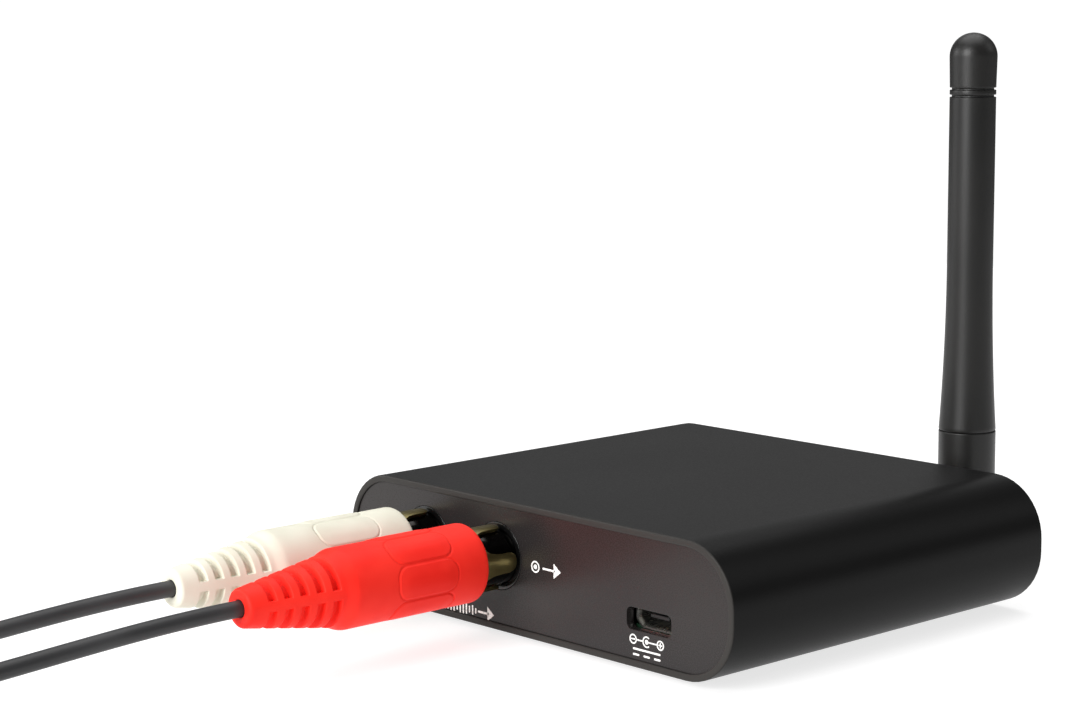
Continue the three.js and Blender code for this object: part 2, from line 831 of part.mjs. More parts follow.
// ---- Phono plugs: a moulded body with a tapered boot, a slotted ring, a core and a pin. ----
// A plug's own frame has its mouth at the origin, its pin along +Y and its boot along -Y.
const plugBody = turned([
  [0, -plugLength],
  [bootEndRadius, -plugLength],
  [bootStartRadius, -plugGripLength],
  [plugRadius, -plugGripLength + 2.5],
  [plugRadius, -plugEdge],
  [plugRadius - plugEdge, 0],
  [ringRadius + fixGap, 0],
  [ringRadius + fixGap, -ringSocket],
  [0, -ringSocket],
]);
const slotTools = Array.from({ length: ringSlots }, (_, i) =>
  block(
    [-ringSlotWidth / 2, ringReach - ringSlotDepth, -2 * ringRadius],
    [ringSlotWidth / 2, ringReach + through, 2 * ringRadius],
  ).rotateY(Math.PI / 4 + (i * Math.PI) / ringSlots),
);
const plugRing = cut(
  tubeY(ringRadius - ringWall, ringRadius, -ringSocket + fixGap, ringReach),
  ...slotTools,
);
const coreBack = -ringSocket + fixGap;
const coreFront = coreBack + plugCoreThickness;
const plugCore = tubeY(pinRadius + fixGap, ringRadius - ringWall - fixGap, coreBack, coreFront);
const plugPin = turned([
  [0, coreBack],
  [pinRadius, coreBack],
  [pinRadius, pinReach - pinNose],
  [pinRadius / 2, pinReach],
  [0, pinReach],
]);

function plug(group, name, material) {
  piece(group, `${name}_plug_body`, plugBody.clone(), material);
  piece(group, `${name}_plug_ring`, plugRing.clone(), gold);
  piece(group, `${name}_plug_core`, plugCore.clone(), whitePlastic);
  piece(group, `${name}_plug_pin`, plugPin.clone(), gold);
}

// ---- Leads: each cord leaves its plug, sags onto its coil, and runs on to the plug at its far end. ----
// Points are [sideways towards the coil, distance out from the jack panel, height above the surface].
const plugExit = plugStandOff + plugLength;
const leadRoute = [
  [0, plugExit + leadGap, socketZ],
  [0, 50, 12.12],
  [0, 54, 12.06],
  [0, 58, 11.95],
  [0, 62, 11.79],
  [0, 66, 11.58],
  [0, 70, 11.33],
  [0, 74, 11.06],
  [0, 78, 10.78],
  [0, 82, 10.5],
  [0, 86, 10.23],
  [0, 90, 9.97],
  [0, 94, 9.73],
  [0, 98, 9.51],
  [0, 102, 9.33],
  [0, 106.8, 9.18],
];
const tailRoute = [
  [0, 125.2, 1.9],
  [0, 127.5, 2.1],
  [0, 130.2, 2.75],
  [0, 133.3, plugRadius - 2],
  [0, 136.4, plugRadius - 0.75],
  [0, 138.5, plugRadius - 0.2],
  [0, farPlugDistance - leadGap, plugRadius],
];

/** The coil's outer shape: a ring with rounded corners. */
function coilRing() {
  const r = cordDiameter / 2;
  return turned(
    [
      [coilInnerRadius, coilHeight - r],
      [coilInnerRadius, r],
      [coilInnerRadius + r, 0],
      [coilOuterRadius - r, 0],
      [coilOuterRadius, r],
      [coilOuterRadius, coilHeight - r],
      [coilOuterRadius - r, coilHeight],
      [coilInnerRadius + r, coilHeight],
      [coilInnerRadius, coilHeight - r],
    ],
    fineSides,
  );
}

function lead(name, towards, material) {
  const group = new THREE.Group();
  group.position.set(socketXs[name], jackFace, 0);
  receiver.add(group);
  const place = ([across, out, height]) => [towards * across, -out, height];
  const near = new THREE.Group();
  near.position.set(0, -plugStandOff, socketZ);
  const far = new THREE.Group();
  far.position.set(0, -farPlugDistance - plugLength, plugRadius);
  far.rotation.z = Math.PI;
  group.add(near, far);
  plug(near, name, material);
  plug(far, `${name}_far`, material);
  piece(group, `${name}_lead_cord`, cordAlong(leadRoute.map(place), cordDiameter, 12), cordJacket);
  piece(group, `${name}_lead_tail`, cordAlong(tailRoute.map(place), cordDiameter, 8), cordJacket);
  const middle = [towards * coilOffset, -coilDistance, coilBottom];
  piece(group, `${name}_lead_coil`, standing(coilRing()), cordJacket, middle);
  // The tie wraps the coil's bundle on the side away from the plug's axis.
  const tieInside = Math.sqrt(coilInnerRadius ** 2 - (tieWidth / 2) ** 2) - tieGap;
  const bundleWidth = coilOuterRadius + tieGap - tieInside;
  const bundleHeight = coilHeight + 2 * tieGap;
  const tie = roundedRectangle(bundleWidth + 2 * tieThickness, bundleHeight + 2 * tieThickness, 1.4);
  tie.holes.push(roundedRectangle(bundleWidth, bundleHeight, 1, 0, 0, THREE.Path));
  piece(group, `${name}_lead_tie`, plate(tie, -tieWidth / 2, tieWidth / 2), blackRubber, [
    towards * (coilOffset + tieInside + bundleWidth / 2),
    -coilDistance,
    coilBottom + coilHeight / 2,
  ]);
}
lead("left", -1, whitePlastic);
lead("right", 1, redPlastic);

export default receiver;
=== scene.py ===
# A wireless audio receiver: a black aluminium case with a whip aerial behind and two phono leads in front.
# Sizes are in millimetres, in the same frame as the CAD model, and each mesh turns them into metres.
import json
import math

import bmesh
import bpy
import numpy as np
from mathutils import Matrix, Vector
from mathutils.geometry import tessellate_polygon

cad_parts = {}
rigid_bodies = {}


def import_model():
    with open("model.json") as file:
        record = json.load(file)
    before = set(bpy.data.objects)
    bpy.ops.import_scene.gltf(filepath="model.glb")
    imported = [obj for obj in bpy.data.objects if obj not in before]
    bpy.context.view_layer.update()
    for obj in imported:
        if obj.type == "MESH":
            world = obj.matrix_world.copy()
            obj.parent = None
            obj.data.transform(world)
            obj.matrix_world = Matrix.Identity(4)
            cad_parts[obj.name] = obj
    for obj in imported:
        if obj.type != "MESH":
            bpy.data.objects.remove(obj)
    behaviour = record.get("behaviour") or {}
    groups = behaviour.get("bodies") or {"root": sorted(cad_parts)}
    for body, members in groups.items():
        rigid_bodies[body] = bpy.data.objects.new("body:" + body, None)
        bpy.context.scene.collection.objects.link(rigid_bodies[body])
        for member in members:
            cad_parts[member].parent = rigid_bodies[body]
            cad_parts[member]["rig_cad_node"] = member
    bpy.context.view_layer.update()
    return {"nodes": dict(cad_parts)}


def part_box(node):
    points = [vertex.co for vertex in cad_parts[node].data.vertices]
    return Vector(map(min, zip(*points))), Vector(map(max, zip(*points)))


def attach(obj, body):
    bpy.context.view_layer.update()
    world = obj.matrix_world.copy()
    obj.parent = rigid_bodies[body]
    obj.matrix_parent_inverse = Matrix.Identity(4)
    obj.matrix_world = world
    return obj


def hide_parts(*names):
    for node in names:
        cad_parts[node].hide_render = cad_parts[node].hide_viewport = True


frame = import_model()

MM = 0.001


def node_box(name):
    """The lowest and highest corner of a CAD node, in millimetres."""
    return np.array([list(corner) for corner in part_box(name)]) / MM


# ---- Camera ----
# A long lens a little above the receiver, off its front right corner.
camera_place = (267.6, -283.7, 94.5)
camera_azimuth, camera_elevation, camera_roll = map(math.radians, (47.67, 8.17, -0.41))
away = np.array(
    [
        math.sin(camera_azimuth) * math.cos(camera_elevation),
        -math.cos(camera_azimuth) * math.cos(camera_elevation),
        math.sin(camera_elevation),
    ]
)
level = np.array([math.cos(camera_azimuth), math.sin(camera_azimuth), 0.0])
upright = np.cross(away, level)
right = level * math.cos(camera_roll) + upright * math.sin(camera_roll)
up = upright * math.cos(camera_roll) - level * math.sin(camera_roll)
camera = bpy.data.objects.new("camera", bpy.data.cameras.new("camera"))
camera.data.lens = 84.04
camera.data.sensor_width = 36.0
camera.data.clip_start, camera.data.clip_end = 0.01, 20.0
turned_to = Matrix(np.array([right, up, away]).T.tolist()).to_4x4()
camera.matrix_world = Matrix.Translation(Vector(camera_place) * MM) @ turned_to
bpy.context.scene.collection.objects.link(camera)
bpy.context.scene.camera = camera


# ---- Leads ----
# Two phono leads of thin round PVC cord, one metre each, wound and tied at the far end for storage.
# Each cord is one smooth line: out of its plug, over to its coil, down through the turns, and on to the far plug.
def skin(rings, joined=False):
    """Faces over a stack of closed rings of points, rings[i, j], from one ring to the next.
    The stack is closed by joining its last ring to its first, or by a flat face on each end."""
    count, around = rings.shape[:2]
    index = np.arange(count * around).reshape(count, around)
    upper = np.roll(index, -1, 0) if joined else index[1:]
    lower = index if joined else index[:-1]
    sides = np.stack([lower, np.roll(lower, -1, 1), np.roll(upper, -1, 1), upper], -1)
    faces = sides.reshape(-1, 4).tolist()
    return faces if joined else faces + [index[0, ::-1].tolist(), index[-1].tolist()]


def build(name, *shells, crease=32.0):
    """One piece from closed shells of (points in millimetres, faces). Points that meet are merged, so poles close,
    faces are turned to point outwards, and edges that turn by more than crease degrees stay sharp. Each smooth
    normal leans towards the larger faces beside it, so flats stay flat next to their rounded edges."""
    mesh = bpy.data.meshes.new(name)
    starts = np.cumsum([0] + [points.size // 3 for points, _ in shells])
    points = np.concatenate([points.reshape(-1, 3) for points, _ in shells]) * MM
    faces = [[int(start) + i for i in face] for start, (_, shell) in zip(starts, shells) for face in shell]
    mesh.from_pydata(points.tolist(), [], faces)
    work = bmesh.new()
    work.from_mesh(mesh)
    bmesh.ops.remove_doubles(work, verts=work.verts, dist=2e-7)
    bmesh.ops.dissolve_degenerate(work, edges=work.edges, dist=1e-8)
    bmesh.ops.recalc_face_normals(work, faces=work.faces)
    work.to_mesh(mesh)
    work.free()
    made = bpy.data.objects.new(name, mesh)
    bpy.context.scene.collection.objects.link(made)
    return shade(made, crease)


def shade(piece, crease=32.0):
    """Smooth shading, with sharp edges where faces turn by more than crease degrees."""
    piece.data.shade_smooth()
    piece.data.set_sharp_from_angle(angle=math.radians(crease))
    weighted = piece.modifiers.new("flats", "WEIGHTED_NORMAL")
    weighted.keep_sharp = True
    return piece


def through(points, steps):
    """A smooth line through points: on each stretch a cubic whose slope at each end is half the way
    between the points before and after that end."""
    points = np.array(points, float)
    ends = np.concatenate([points[:1] * 2 - points[1:2], points, points[-1:] * 2 - points[-2:-1]])
    t = np.linspace(0, 1, steps, endpoint=False)[None, :, None]
    a, b, c, d = (ends[k : len(ends) - 3 + k][:, None] for k in range(4))
    line = b + t * ((c - a) / 2 + t * (a - 2.5 * b + 2 * c - d / 2 + t * (1.5 * (b - c) + (d - a) / 2)))
    return np.concatenate([line.reshape(-1, points.shape[1]), points[-1:]])


def ease(t):
    """0 before 0, 1 after 1, and half a cosine wave between."""
    return (1 - np.cos(np.pi * np.clip(t, 0, 1))) / 2


def cord_tube(line, diameter, around=14):
    """A round tube along a line that never stands upright. Each ring of points is square to the line,
    with one axis level and the other at right angles to it."""
    along = np.gradient(line, axis=0)
    along /= np.linalg.norm(along, axis=1, keepdims=True)
    side = np.cross(along, [0.0, 0.0, 1.0])
    side /= np.linalg.norm(side, axis=1, keepdims=True)
    top = np.cross(side, along)
    turn = np.linspace(0, 2 * np.pi, around, endpoint=False)[None, :, None]
    rings = line[:, None] + diameter / 2 * (np.cos(turn) * side[:, None] + np.sin(turn) * top[:, None])
    return rings, skin(rings)


jack_face = node_box("jack_panel")[0, 1]
socket_z = node_box("left_socket_barrel")[:, 2].mean()
sides = {"left": -1, "right": 1}
plug_x = {side: node_box(f"{side}_socket_barrel")[:, 0].mean() for side in sides}
cord_diameter = 2.4
coil_middle, coil_turn, coil_bottom = 116.0, 13.1, node_box("left_lead_coil")[0, 2]
coil_rows, coil_layers = 3, 4
shift_start, shift_step, shift_arc = 290.0, 28.0, 70.0  # where turns cross to their next place, in degrees

# Distance out from the jack panel, and height.
lead_route = [
    (46.5, 12.13), (50, 12.12), (54, 12.06), (58, 11.95), (62, 11.79), (66, 11.58), (70, 11.33), (74, 11.06),
    (78, 10.78), (82, 10.5), (86, 10.23), (90, 9.97), (94, 9.73), (98, 9.51), (102, 9.33), (106.8, 9.18),
    (111.5, 9.12), (116, 9.1),
]
tail_route = [
    (116, 1.9), (120.5, 1.9), (125.2, 1.9), (127.5, 2.1), (130.2, 2.75), (133.3, 3.95), (136.4, 5.2),
    (138.5, 5.75), (140.7, 5.95), (141.7, 5.95),
]


def coil_line():
    """The turns of a coil, as [radius, height, angle]. The places of its turns go in from the outside along the
    top layer, down a layer, out again, and so on. On each turn the cord keeps to its place, then crosses to the
    next one. The later a turn, the earlier it crosses, so no turn crosses into one that is still there."""
    radii = coil_turn + cord_diameter * (np.arange(coil_rows) - (coil_rows - 1) / 2)[::-1]
    radii = np.concatenate([radii if layer % 2 == 0 else radii[::-1] for layer in range(coil_layers)])
    heights = coil_bottom + cord_diameter * (coil_layers - 0.5 - np.arange(coil_layers))
    cells = np.stack([radii, np.repeat(heights, coil_rows)], 1)
    turns = len(cells) - 1
    angle = np.arange(0, 360 * turns + 1, 4.0)
    turn = np.minimum(angle // 360, turns - 1).astype(int)
    part = ease((angle - 360 * turn - shift_start + shift_step * turn) / shift_arc)[:, None]
    return np.concatenate([cells[turn] * (1 - part) + cells[turn + 1] * part, np.radians(angle)[:, None]], 1)


def lead_line(side):
    """The whole centreline of a lead, with its coil on the side away from the other lead."""
    middle = coil_turn + cord_diameter * (coil_rows - 1) / 2
    radius, height, angle = coil_line().T
    across = sides[side] * (middle - radius * np.cos(angle))
    coil = np.stack([across, -coil_middle - radius * np.sin(angle), height], 1)
    straight = [through(route, 5) for route in (lead_route, tail_route)]
    out, back = (np.stack([0 * s[:, 0], -s[:, 0], s[:, 1]], 1) for s in straight)
    return np.concatenate([out[:-1], coil, back[1:]]) + [plug_x[side], jack_face, 0]


class Value:
    """A number that varies over a surface. Arithmetic on it adds Math nodes to its finish."""

    def __init__(self, finish, socket):
        self.finish, self.socket = finish, socket

    def maths(self, operation, *numbers):
        return self.finish.add("ShaderNodeMath", {"operation": operation}, dict(enumerate(numbers)))

    def __add__(self, other):
        return self.maths("ADD", self, other)

    def __sub__(self, other):
        return self.maths("SUBTRACT", self, other)

    def __rsub__(self, other):
        return self.maths("SUBTRACT", other, self)

    def __mul__(self, other):
        return self.maths("MULTIPLY", self, other)

    def __truediv__(self, other):
        return self.maths("DIVIDE", self, other)

    __radd__, __rmul__ = __add__, __mul__

    def clear(self, low, high):
        """0 where this is below low, 1 where it is above high, and smooth between."""
        settings = {"interpolation_type": "SMOOTHSTEP"}
        return self.finish.add("ShaderNodeMapRange", settings, {"Value": self, "From Min": low, "From Max": high})


def tone(red, green, blue):
    """A screen colour, from 0 to 255 a channel, as the linear colour that a shader takes."""
    screen = np.array([red, green, blue]) / 255
    linear = np.where(screen <= 0.04045, screen / 12.92, ((screen + 0.055) / 1.055) ** 2.4)
    return (*linear.tolist(), 1.0)


class Finish:
    """A procedural material on one Principled shader, for pieces of one material slot."""

    def __init__(self, name, slot, **constants):
        self.material, self.slot = bpy.data.materials.new(name), slot
        self.material.use_nodes = True
        self.nodes, self.links = self.material.node_tree.nodes, self.material.node_tree.links
        self.shader = self.nodes["Principled BSDF"]
        self.set(**constants)

    def set(self, **sockets):
        for name, value in sockets.items():
            self.join(self.shader.inputs[name.replace("_", " ")], value)

    def join(self, socket, value):
        if isinstance(value, Value):
            self.links.new(value.socket, socket)
        else:
            socket.default_value = value

    def add(self, kind, settings=None, sockets=None, out=0):
        """Any other node: its type, its settings, which are set first, then the values or links of its sockets."""
        made = self.nodes.new(kind)
        for name, value in (settings or {}).items():
            setattr(made, name, value)
        for name, value in (sockets or {}).items():
            self.join(made.inputs[name], value)
        return Value(self, made.outputs[out])

    def place(self):
        """Where a point is, in metres, in the frame of the object."""
        return self.add("ShaderNodeTexCoord", out="Object")

    def along(self, axis):
        """The distance along X, Y or Z, in millimetres."""
        return self.add("ShaderNodeSeparateXYZ", None, {0: self.place()}, out=axis) * 1000

    def grain(self, size, detail=2.0, stretch=(1, 1, 1)):
        """Smooth noise about 0.5, with lumps of a size in millimetres, drawn out along each axis by stretch."""
        scale = tuple(1 / part for part in stretch)
        placed = self.add("ShaderNodeMapping", None, {"Vector": self.place(), "Scale": scale})
        sockets = {"Vector": placed, "Scale": 1 / (size * MM), "Detail": detail}
        return self.add("ShaderNodeTexNoise", None, sockets)

    def mix(self, low, high, part):
        """One colour where part is 0, another where it is 1."""
        settings = {"data_type": "RGBA", "blend_type": "MIX"}
        return self.add("ShaderNodeMix", settings, {0: part, 6: low, 7: high}, out=2)

    def relief(self, height, depth, strength=1.0):
        """Bumps of a depth in millimetres."""
        sockets = {"Height": height, "Distance": depth * MM, "Strength": strength}
        return self.add("ShaderNodeBump", None, sockets)

    def on(self, *pieces):
        for piece in pieces:
            piece.data.materials.clear()
            piece.data.materials.append(self.material)
            "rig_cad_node" not in piece


jacket = Finish("cord_jacket", "cord_jacket", Specular_IOR_Level=0.4)
scuff = jacket.grain(6.0, 3.0, (1, 3, 1))
jacket.set(
    Base_Color=jacket.mix(tone(40, 40, 41), tone(56, 56, 57), scuff.clear(0.35, 0.75)),
    Roughness=0.42 + scuff * 0.16,
    Normal=jacket.relief(jacket.grain(0.35), 0.02, 0.5),
)
cord_lines = {side: lead_line(side) for side in sides}
cords = {}
for side, line in cord_lines.items():
    cords[side] = build(f"{side}_cord", cord_tube(line, cord_diameter), crease=60)
    jacket.on(cords[side])
    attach(cords[side], f"{side}_lead")
    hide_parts(f"{side}_lead_cord", f"{side}_lead_tail", f"{side}_lead_coil")


# ---- Ties ----
# A strap of woven hook tape round each coil, with its loose end lapped over itself on top.
def rounded(corners, closed=True, steps=5):
    """An outline of straight runs and round corners, from (x, y, radius). The arc of a corner touches both
    its sides at radius / tan(half the corner's angle) from it, and its points are the radius away from a
    centre on the line that halves the angle."""
    runs, count = [], len(corners)
    for i, (x, y, radius) in enumerate(corners):
        tip = np.array([x, y], float)
        if not radius or (not closed and i in (0, count - 1)):
            runs.append(tip[None])
            continue
        ways = [np.array(corners[(i + k) % count][:2], float) - tip for k in (-1, 1)]
        a, b = (way / np.linalg.norm(way) for way in ways)
        half = math.acos(np.clip(a @ b, -1, 1)) / 2
        centre = tip + (a + b) / np.linalg.norm(a + b) * radius / math.sin(half)
        start, end = (tip + way * radius / math.tan(half) - centre for way in (a, b))
        t, spread = np.linspace(0, 1, steps + 1)[:, None], np.pi - 2 * half
        runs.append(centre + (np.sin((1 - t) * spread) * start + np.sin(t * spread) * end) / np.sin(spread))
    return np.concatenate(runs)


def rectangle(low, high, radius, steps=5):
    """A rectangle with round corners, from its lowest and highest corner."""
    (x0, z0), (x1, z1) = low, high
    return rounded([(x, z, radius) for x, z in ((x0, z0), (x1, z0), (x1, z1), (x0, z1))], steps=steps)


def inward(outline, depth):
    """An outline moved inwards: each point goes along the mean normal of its two sides, divided by 1 plus
    the cosine of the angle between them, so that both sides move by the depth."""
    ahead = np.roll(outline, -1, 0) - outline
    ahead /= np.linalg.norm(ahead, axis=1, keepdims=True)
    behind = np.roll(ahead, 1, 0)
    across = np.roll(outline, -1, 0)
    way = np.sign((outline[:, 0] * across[:, 1] - across[:, 0] * outline[:, 1]).sum())
    lean = (ahead + behind)[:, ::-1] * [-1, 1] / (1 + (ahead * behind).sum(1, keepdims=True))
    return outline + way * depth * lean


def stacked(outline, levels):
    """An outline in X and Z carried along Y, as rings. Each level is (y, how far it is drawn in there)."""
    drawn = [inward(outline, depth) for _, depth in levels]
    return np.stack([np.insert(flat, 1, y, axis=1) for flat, (y, _) in zip(drawn, levels)])


def rims(start, end, edge, steps=3):
    """The levels of a solid from start to end whose two rims are quarter rounds: at the angle t the rim is
    drawn in by edge * (1 - sin t), and is edge * (1 - cos t) from the end."""
    t = np.linspace(0, np.pi / 2, steps + 1)
    way = math.copysign(edge, end - start)
    first = np.stack([start + way * (1 - np.cos(t)), edge * (1 - np.sin(t))], 1)
    last = np.stack([end - way * (1 - np.cos(t)), edge * (1 - np.sin(t))], 1)[::-1]
    return np.concatenate([first, last]).tolist()


def solid(outline, levels):
    rings = stacked(outline, levels)
    return rings, skin(rings)


strap_thickness, strap_edge, strap_corner = 0.4, 0.12, 1.4
lap_start, lap_stop, lap_height, lap_inset = 2.2, 2.0, 0.28, 0.2
strap = Finish("strap", "black_rubber", Specular_IOR_Level=0.25, Roughness=0.85)
ribs = [
    strap.add("ShaderNodeTexWave", {"bands_direction": way}, {"Vector": strap.place(), "Scale": 400.0})
    for way in ("X", "Y")
]
weave = ribs[0] * ribs[1]
strap.set(
    Base_Color=strap.mix(tone(22, 22, 23), tone(44, 44, 46), weave.clear(0.1, 0.8)),
    Normal=strap.relief(weave, 0.12, 0.8),
)
ties = {}
for side in sides:
    (x0, y0, z0), (x1, y1, z1) = node_box(f"{side}_lead_tie")
    loop = rectangle((x0, z0), (x1, z1), strap_corner)
    levels = [
        (y0 + strap_edge, 0), (y1 - strap_edge, 0), (y1, strap_edge), (y1, strap_thickness - strap_edge),
        (y1 - strap_edge, strap_thickness), (y0 + strap_edge, strap_thickness),
        (y0, strap_thickness - strap_edge), (y0, strap_edge),
    ]
    band = stacked(loop, levels)
    lap = rectangle((x0 + lap_start, z1 - 0.1), (x1 - lap_stop, z1 + lap_height), 0.15)
    lapped = solid(lap, rims(y0 + lap_inset, y1 - lap_inset, 0.1))
    ties[side] = build(f"{side}_tie", (band, skin(band, joined=True)), lapped)
    strap.on(ties[side])
    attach(ties[side], f"{side}_lead")
    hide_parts(f"{side}_lead_tie")


# ---- Studio ----
# A plain table top that glows enough to stay white under the pieces, a backdrop that is white to the camera
# and dim to everything else, and large soft lamps above and beside the receiver.
white = (1, 1, 1, 1)
floor_half, floor_glow = 420, 0.75
floor_finish = Finish("floor", "white_plastic", Specular_IOR_Level=0.0, Roughness=1.0)
floor_finish.set(Emission_Color=white, Emission_Strength=floor_glow)
floor_finish.set(Base_Color=floor_finish.mix(tone(168, 168, 168), tone(174, 174, 174), floor_finish.grain(40)))
floor_mesh = bpy.data.meshes.new("floor")
floor_corners = np.array([(-1, -1, 0), (1, -1, 0), (1, 1, 0), (-1, 1, 0)]) * floor_half * MM
floor_mesh.from_pydata(floor_corners.tolist(), [], [(0, 1, 2, 3)])
floor = bpy.data.objects.new("floor", floor_mesh)
floor.data.materials.append(floor_finish.material)
bpy.context.scene.collection.objects.link(floor)

world = bpy.data.worlds.new("studio")
bpy.context.scene.world = world
bpy.context.scene.view_settings.view_transform = "Standard"
world.use_nodes = True
sky, paths = world.node_tree.nodes["Background"], world.node_tree.nodes.new("ShaderNodeLightPath")
shown, seen = (world.node_tree.nodes.new(f"ShaderNode{kind}") for kind in ("MixShader", "Background"))
for node, strength in ((sky, 0.12), (seen, 1.05)):
    node.inputs["Color"].default_value, node.inputs["Strength"].default_value = white, strength
for source, target in (
    (paths.outputs["Is Camera Ray"], shown.inputs[0]),
    (sky.outputs[0], shown.inputs[1]),
    (seen.outputs[0], shown.inputs[2]),
    (shown.outputs[0], world.node_tree.nodes["World Output"].inputs["Surface"]),
):
    world.node_tree.links.new(source, target)

lamps = [
    # name, place, size, power in watts
    ("top_lamp", (-150, 100, 900), (1000, 1000), 7.4),
    ("front_lamp", (60, -700, 300), (400, 450), 6.4),
    ("left_lamp", (-650, -450, 260), (450, 350), 2.0),
    ("back_lamp", (-560, 600, 420), (600, 500), 0.32),
    ("right_lamp", (520, 600, 520), (500, 500), 0.8),
]
lit_point = Vector((0, -20, 15)) * MM
for name, place, (width, height), power in lamps:
    data = bpy.data.lights.new(name, "AREA")
    data.shape, data.size, data.size_y, data.energy = "RECTANGLE", width * MM, height * MM, power
    lamp = bpy.data.objects.new(name, data)
    lamp.location = Vector(place) * MM
    lamp.rotation_euler = (lit_point - lamp.location).to_track_quat("-Z", "Y").to_euler()
    bpy.context.scene.collection.objects.link(lamp)


# ---- Case ----
# An extruded aluminium sleeve with round long edges, its saw cuts broken, then bead blasted and anodised black.
# Four ribs inside it hold the edges of the board.
def frame_section(low, high, corner, wall, start, end, edge, steps=12):
    """A tube of a rounded rectangle along Y, whose four rims are drawn in by edge over a quarter circle."""
    outline = rectangle(low, high, corner, steps)
    outer = rims(start, end, edge)
    inner = [(y, wall - depth) for y, depth in outer[::-1]]
    rings = stacked(outline, outer + inner)
    return rings, skin(rings, joined=True)


def beside(points, by=0.35):
    """An outline with a point added near each end of its long straight runs, to keep the flats flat."""
    ahead = np.roll(points, -1, 0)
    run = np.linalg.norm(ahead - points, axis=1)
    long = run > 6 * by
    way = (ahead - points) / run[:, None]
    rows = np.stack([points, points + way * by, ahead - way * by], 1)
    keep = np.stack([np.full(len(points), True), long, long], 1)
    return rows[keep]


case_corner, case_wall, case_edge = 9.0, 1.1, 0.28
(case_left, case_front, case_bottom), (case_right, case_back, case_top) = node_box("case_sleeve")
rib_height, rib_gap = 1.0, 0.15
(board_bottom, board_top), board_right = node_box("circuit_board")[:, 2], node_box("circuit_board")[1, 0]
rib_cover = 1.4  # how far a rib reaches over the board's edge
panel_thickness = 1.5
rib_reach = {"low": 38.8, "high": 40.3}  # from the middle of the case to inside its wall
aluminium = Finish("black_anodised", "anodised_aluminium", Metallic=0.0, Specular_IOR_Level=0.08)
blast = aluminium.grain(0.22, 3.0)
cloud = aluminium.grain(34.0, 2.0, (1, 2, 1))
from_mouth = aluminium.along(1) - case_front
# Painted highlight: the sleeve's colour is lightened over its front and back rims and their rounded edges, standing
# in for the light line those edges catch.
rim_highlight = (1 - from_mouth.clear(0.05, 0.32)) + (aluminium.along(1) - case_back).clear(-0.32, -0.05)
aluminium.set(
    Base_Color=aluminium.mix(tone(15, 15, 15), tone(62, 60, 58), rim_highlight * 0.7 + (cloud - 0.5) * 0.08),
    Roughness=0.36 + (blast - 0.5) * 0.16 + (cloud - 0.5) * 0.08,
    Normal=aluminium.relief(blast, 0.012, 0.6),
)
ribs_in = []
for side in (-1, 1):
    for name, low in (("low", board_bottom - rib_gap - rib_height), ("high", board_top + rib_gap)):
        ends = sorted((side * (board_right - rib_cover), side * rib_reach[name]))
        bar = rectangle((ends[0], low), (ends[1], low + rib_height), 0.15, 2)
        start = jack_face + panel_thickness + rib_gap
        ribs_in.append(solid(bar, [(start, 0), (case_back - start + case_front, 0)]))
sleeve = build(
    "case",
    frame_section(
        (case_left, case_bottom), (case_right, case_top), case_corner, case_wall, case_front, case_back, case_edge
    ),
    *ribs_in,
    crease=38,
)
aluminium.on(sleeve)
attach(sleeve, "receiver")
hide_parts("case_sleeve")


# ---- End panels ----
# Two moulded plates in the ends of the sleeve, each held by four snap clips with a bead on their tips.
def plate(outlines, levels):
    """A flat part whose first outline is its edge and whose other outlines are holes. Each is carried through
    the levels, which draw the edge in and the holes out, and each face is cut into triangles round the holes."""
    points, faces, ends, start = [], [], ([], []), 0
    for k, outline in enumerate(outlines):
        rings = stacked(outline, [(y, -depth if k else depth) for y, depth in levels])
        faces += [[start + i for i in face] for face in skin(rings)[:-2]]
        index = start + np.arange(rings.size // 3).reshape(rings.shape[:2])
        for end, row in zip(ends, (0, -1)):
            end.append((rings[row], index[row]))
        points.append(rings.reshape(-1, 3))
        start += rings.size // 3
    for loops in ends:
        flat = [[Vector((x, z, 0)) for x, _, z in ring] for ring, _ in loops]
        index = np.concatenate([i for _, i in loops])
        faces += index[np.array(tessellate_polygon(flat))].tolist()
    return np.concatenate(points), faces


def circle(x, z, radius, around=64):
    turn = np.linspace(0, 2 * np.pi, around, endpoint=False)
    return np.stack([x + radius * np.cos(turn), z + radius * np.sin(turn)], 1)


clip_x, clip_half_width, clip_length, clip_thickness, bead_height, bead_length = 27, 4, 6, 1.2, 0.4, 1.1


def clips(face, inwards):
    """The four clips of a panel: a flat arm along Y, and a bead on the outside of its tip."""
    made = []
    for x, up in ((x, up) for x in (-clip_x, clip_x) for up in (-1, 1)):
        outside = (panel_high if up > 0 else panel_low)[1]
        root, tip = face + inwards * panel_thickness * 0.7, face + inwards * (panel_thickness + clip_length)
        arm, bead = (clip_thickness, 0.0, root), (bead_height, bead_height, tip - inwards * bead_length)
        for thick, proud, start in (arm, bead):
            zs = sorted((outside - up * thick, outside + up * proud))
            outline = rectangle((x - clip_half_width, zs[0]), (x + clip_half_width, zs[1]), 0.2, 2)
            made.append(solid(outline, rims(start, tip, 0.15)))
    return made


boss_hole, stem_hole, pipe_hole, panel_edge, panel_corner = 5.16, 3.25, 1.65, 0.1, 7.75
inlet_middle = np.array([25.0, 7.75])
window_half, window_corner = np.array([4.4, 1.6]), 0.9
panel_low, panel_high = node_box("jack_panel")[:, (0, 2)]
panel_outline = beside(rectangle(panel_low, panel_high, panel_corner, 12))
aerial_x, aerial_z = 11.6, node_box("hinge_pin")[:, 2].mean()
aerial_face = node_box("aerial_panel")[1, 1]
pipe_x, pipe_z = node_box("light_pipe")[:, 0].mean(), node_box("light_pipe")[:, 2].mean()

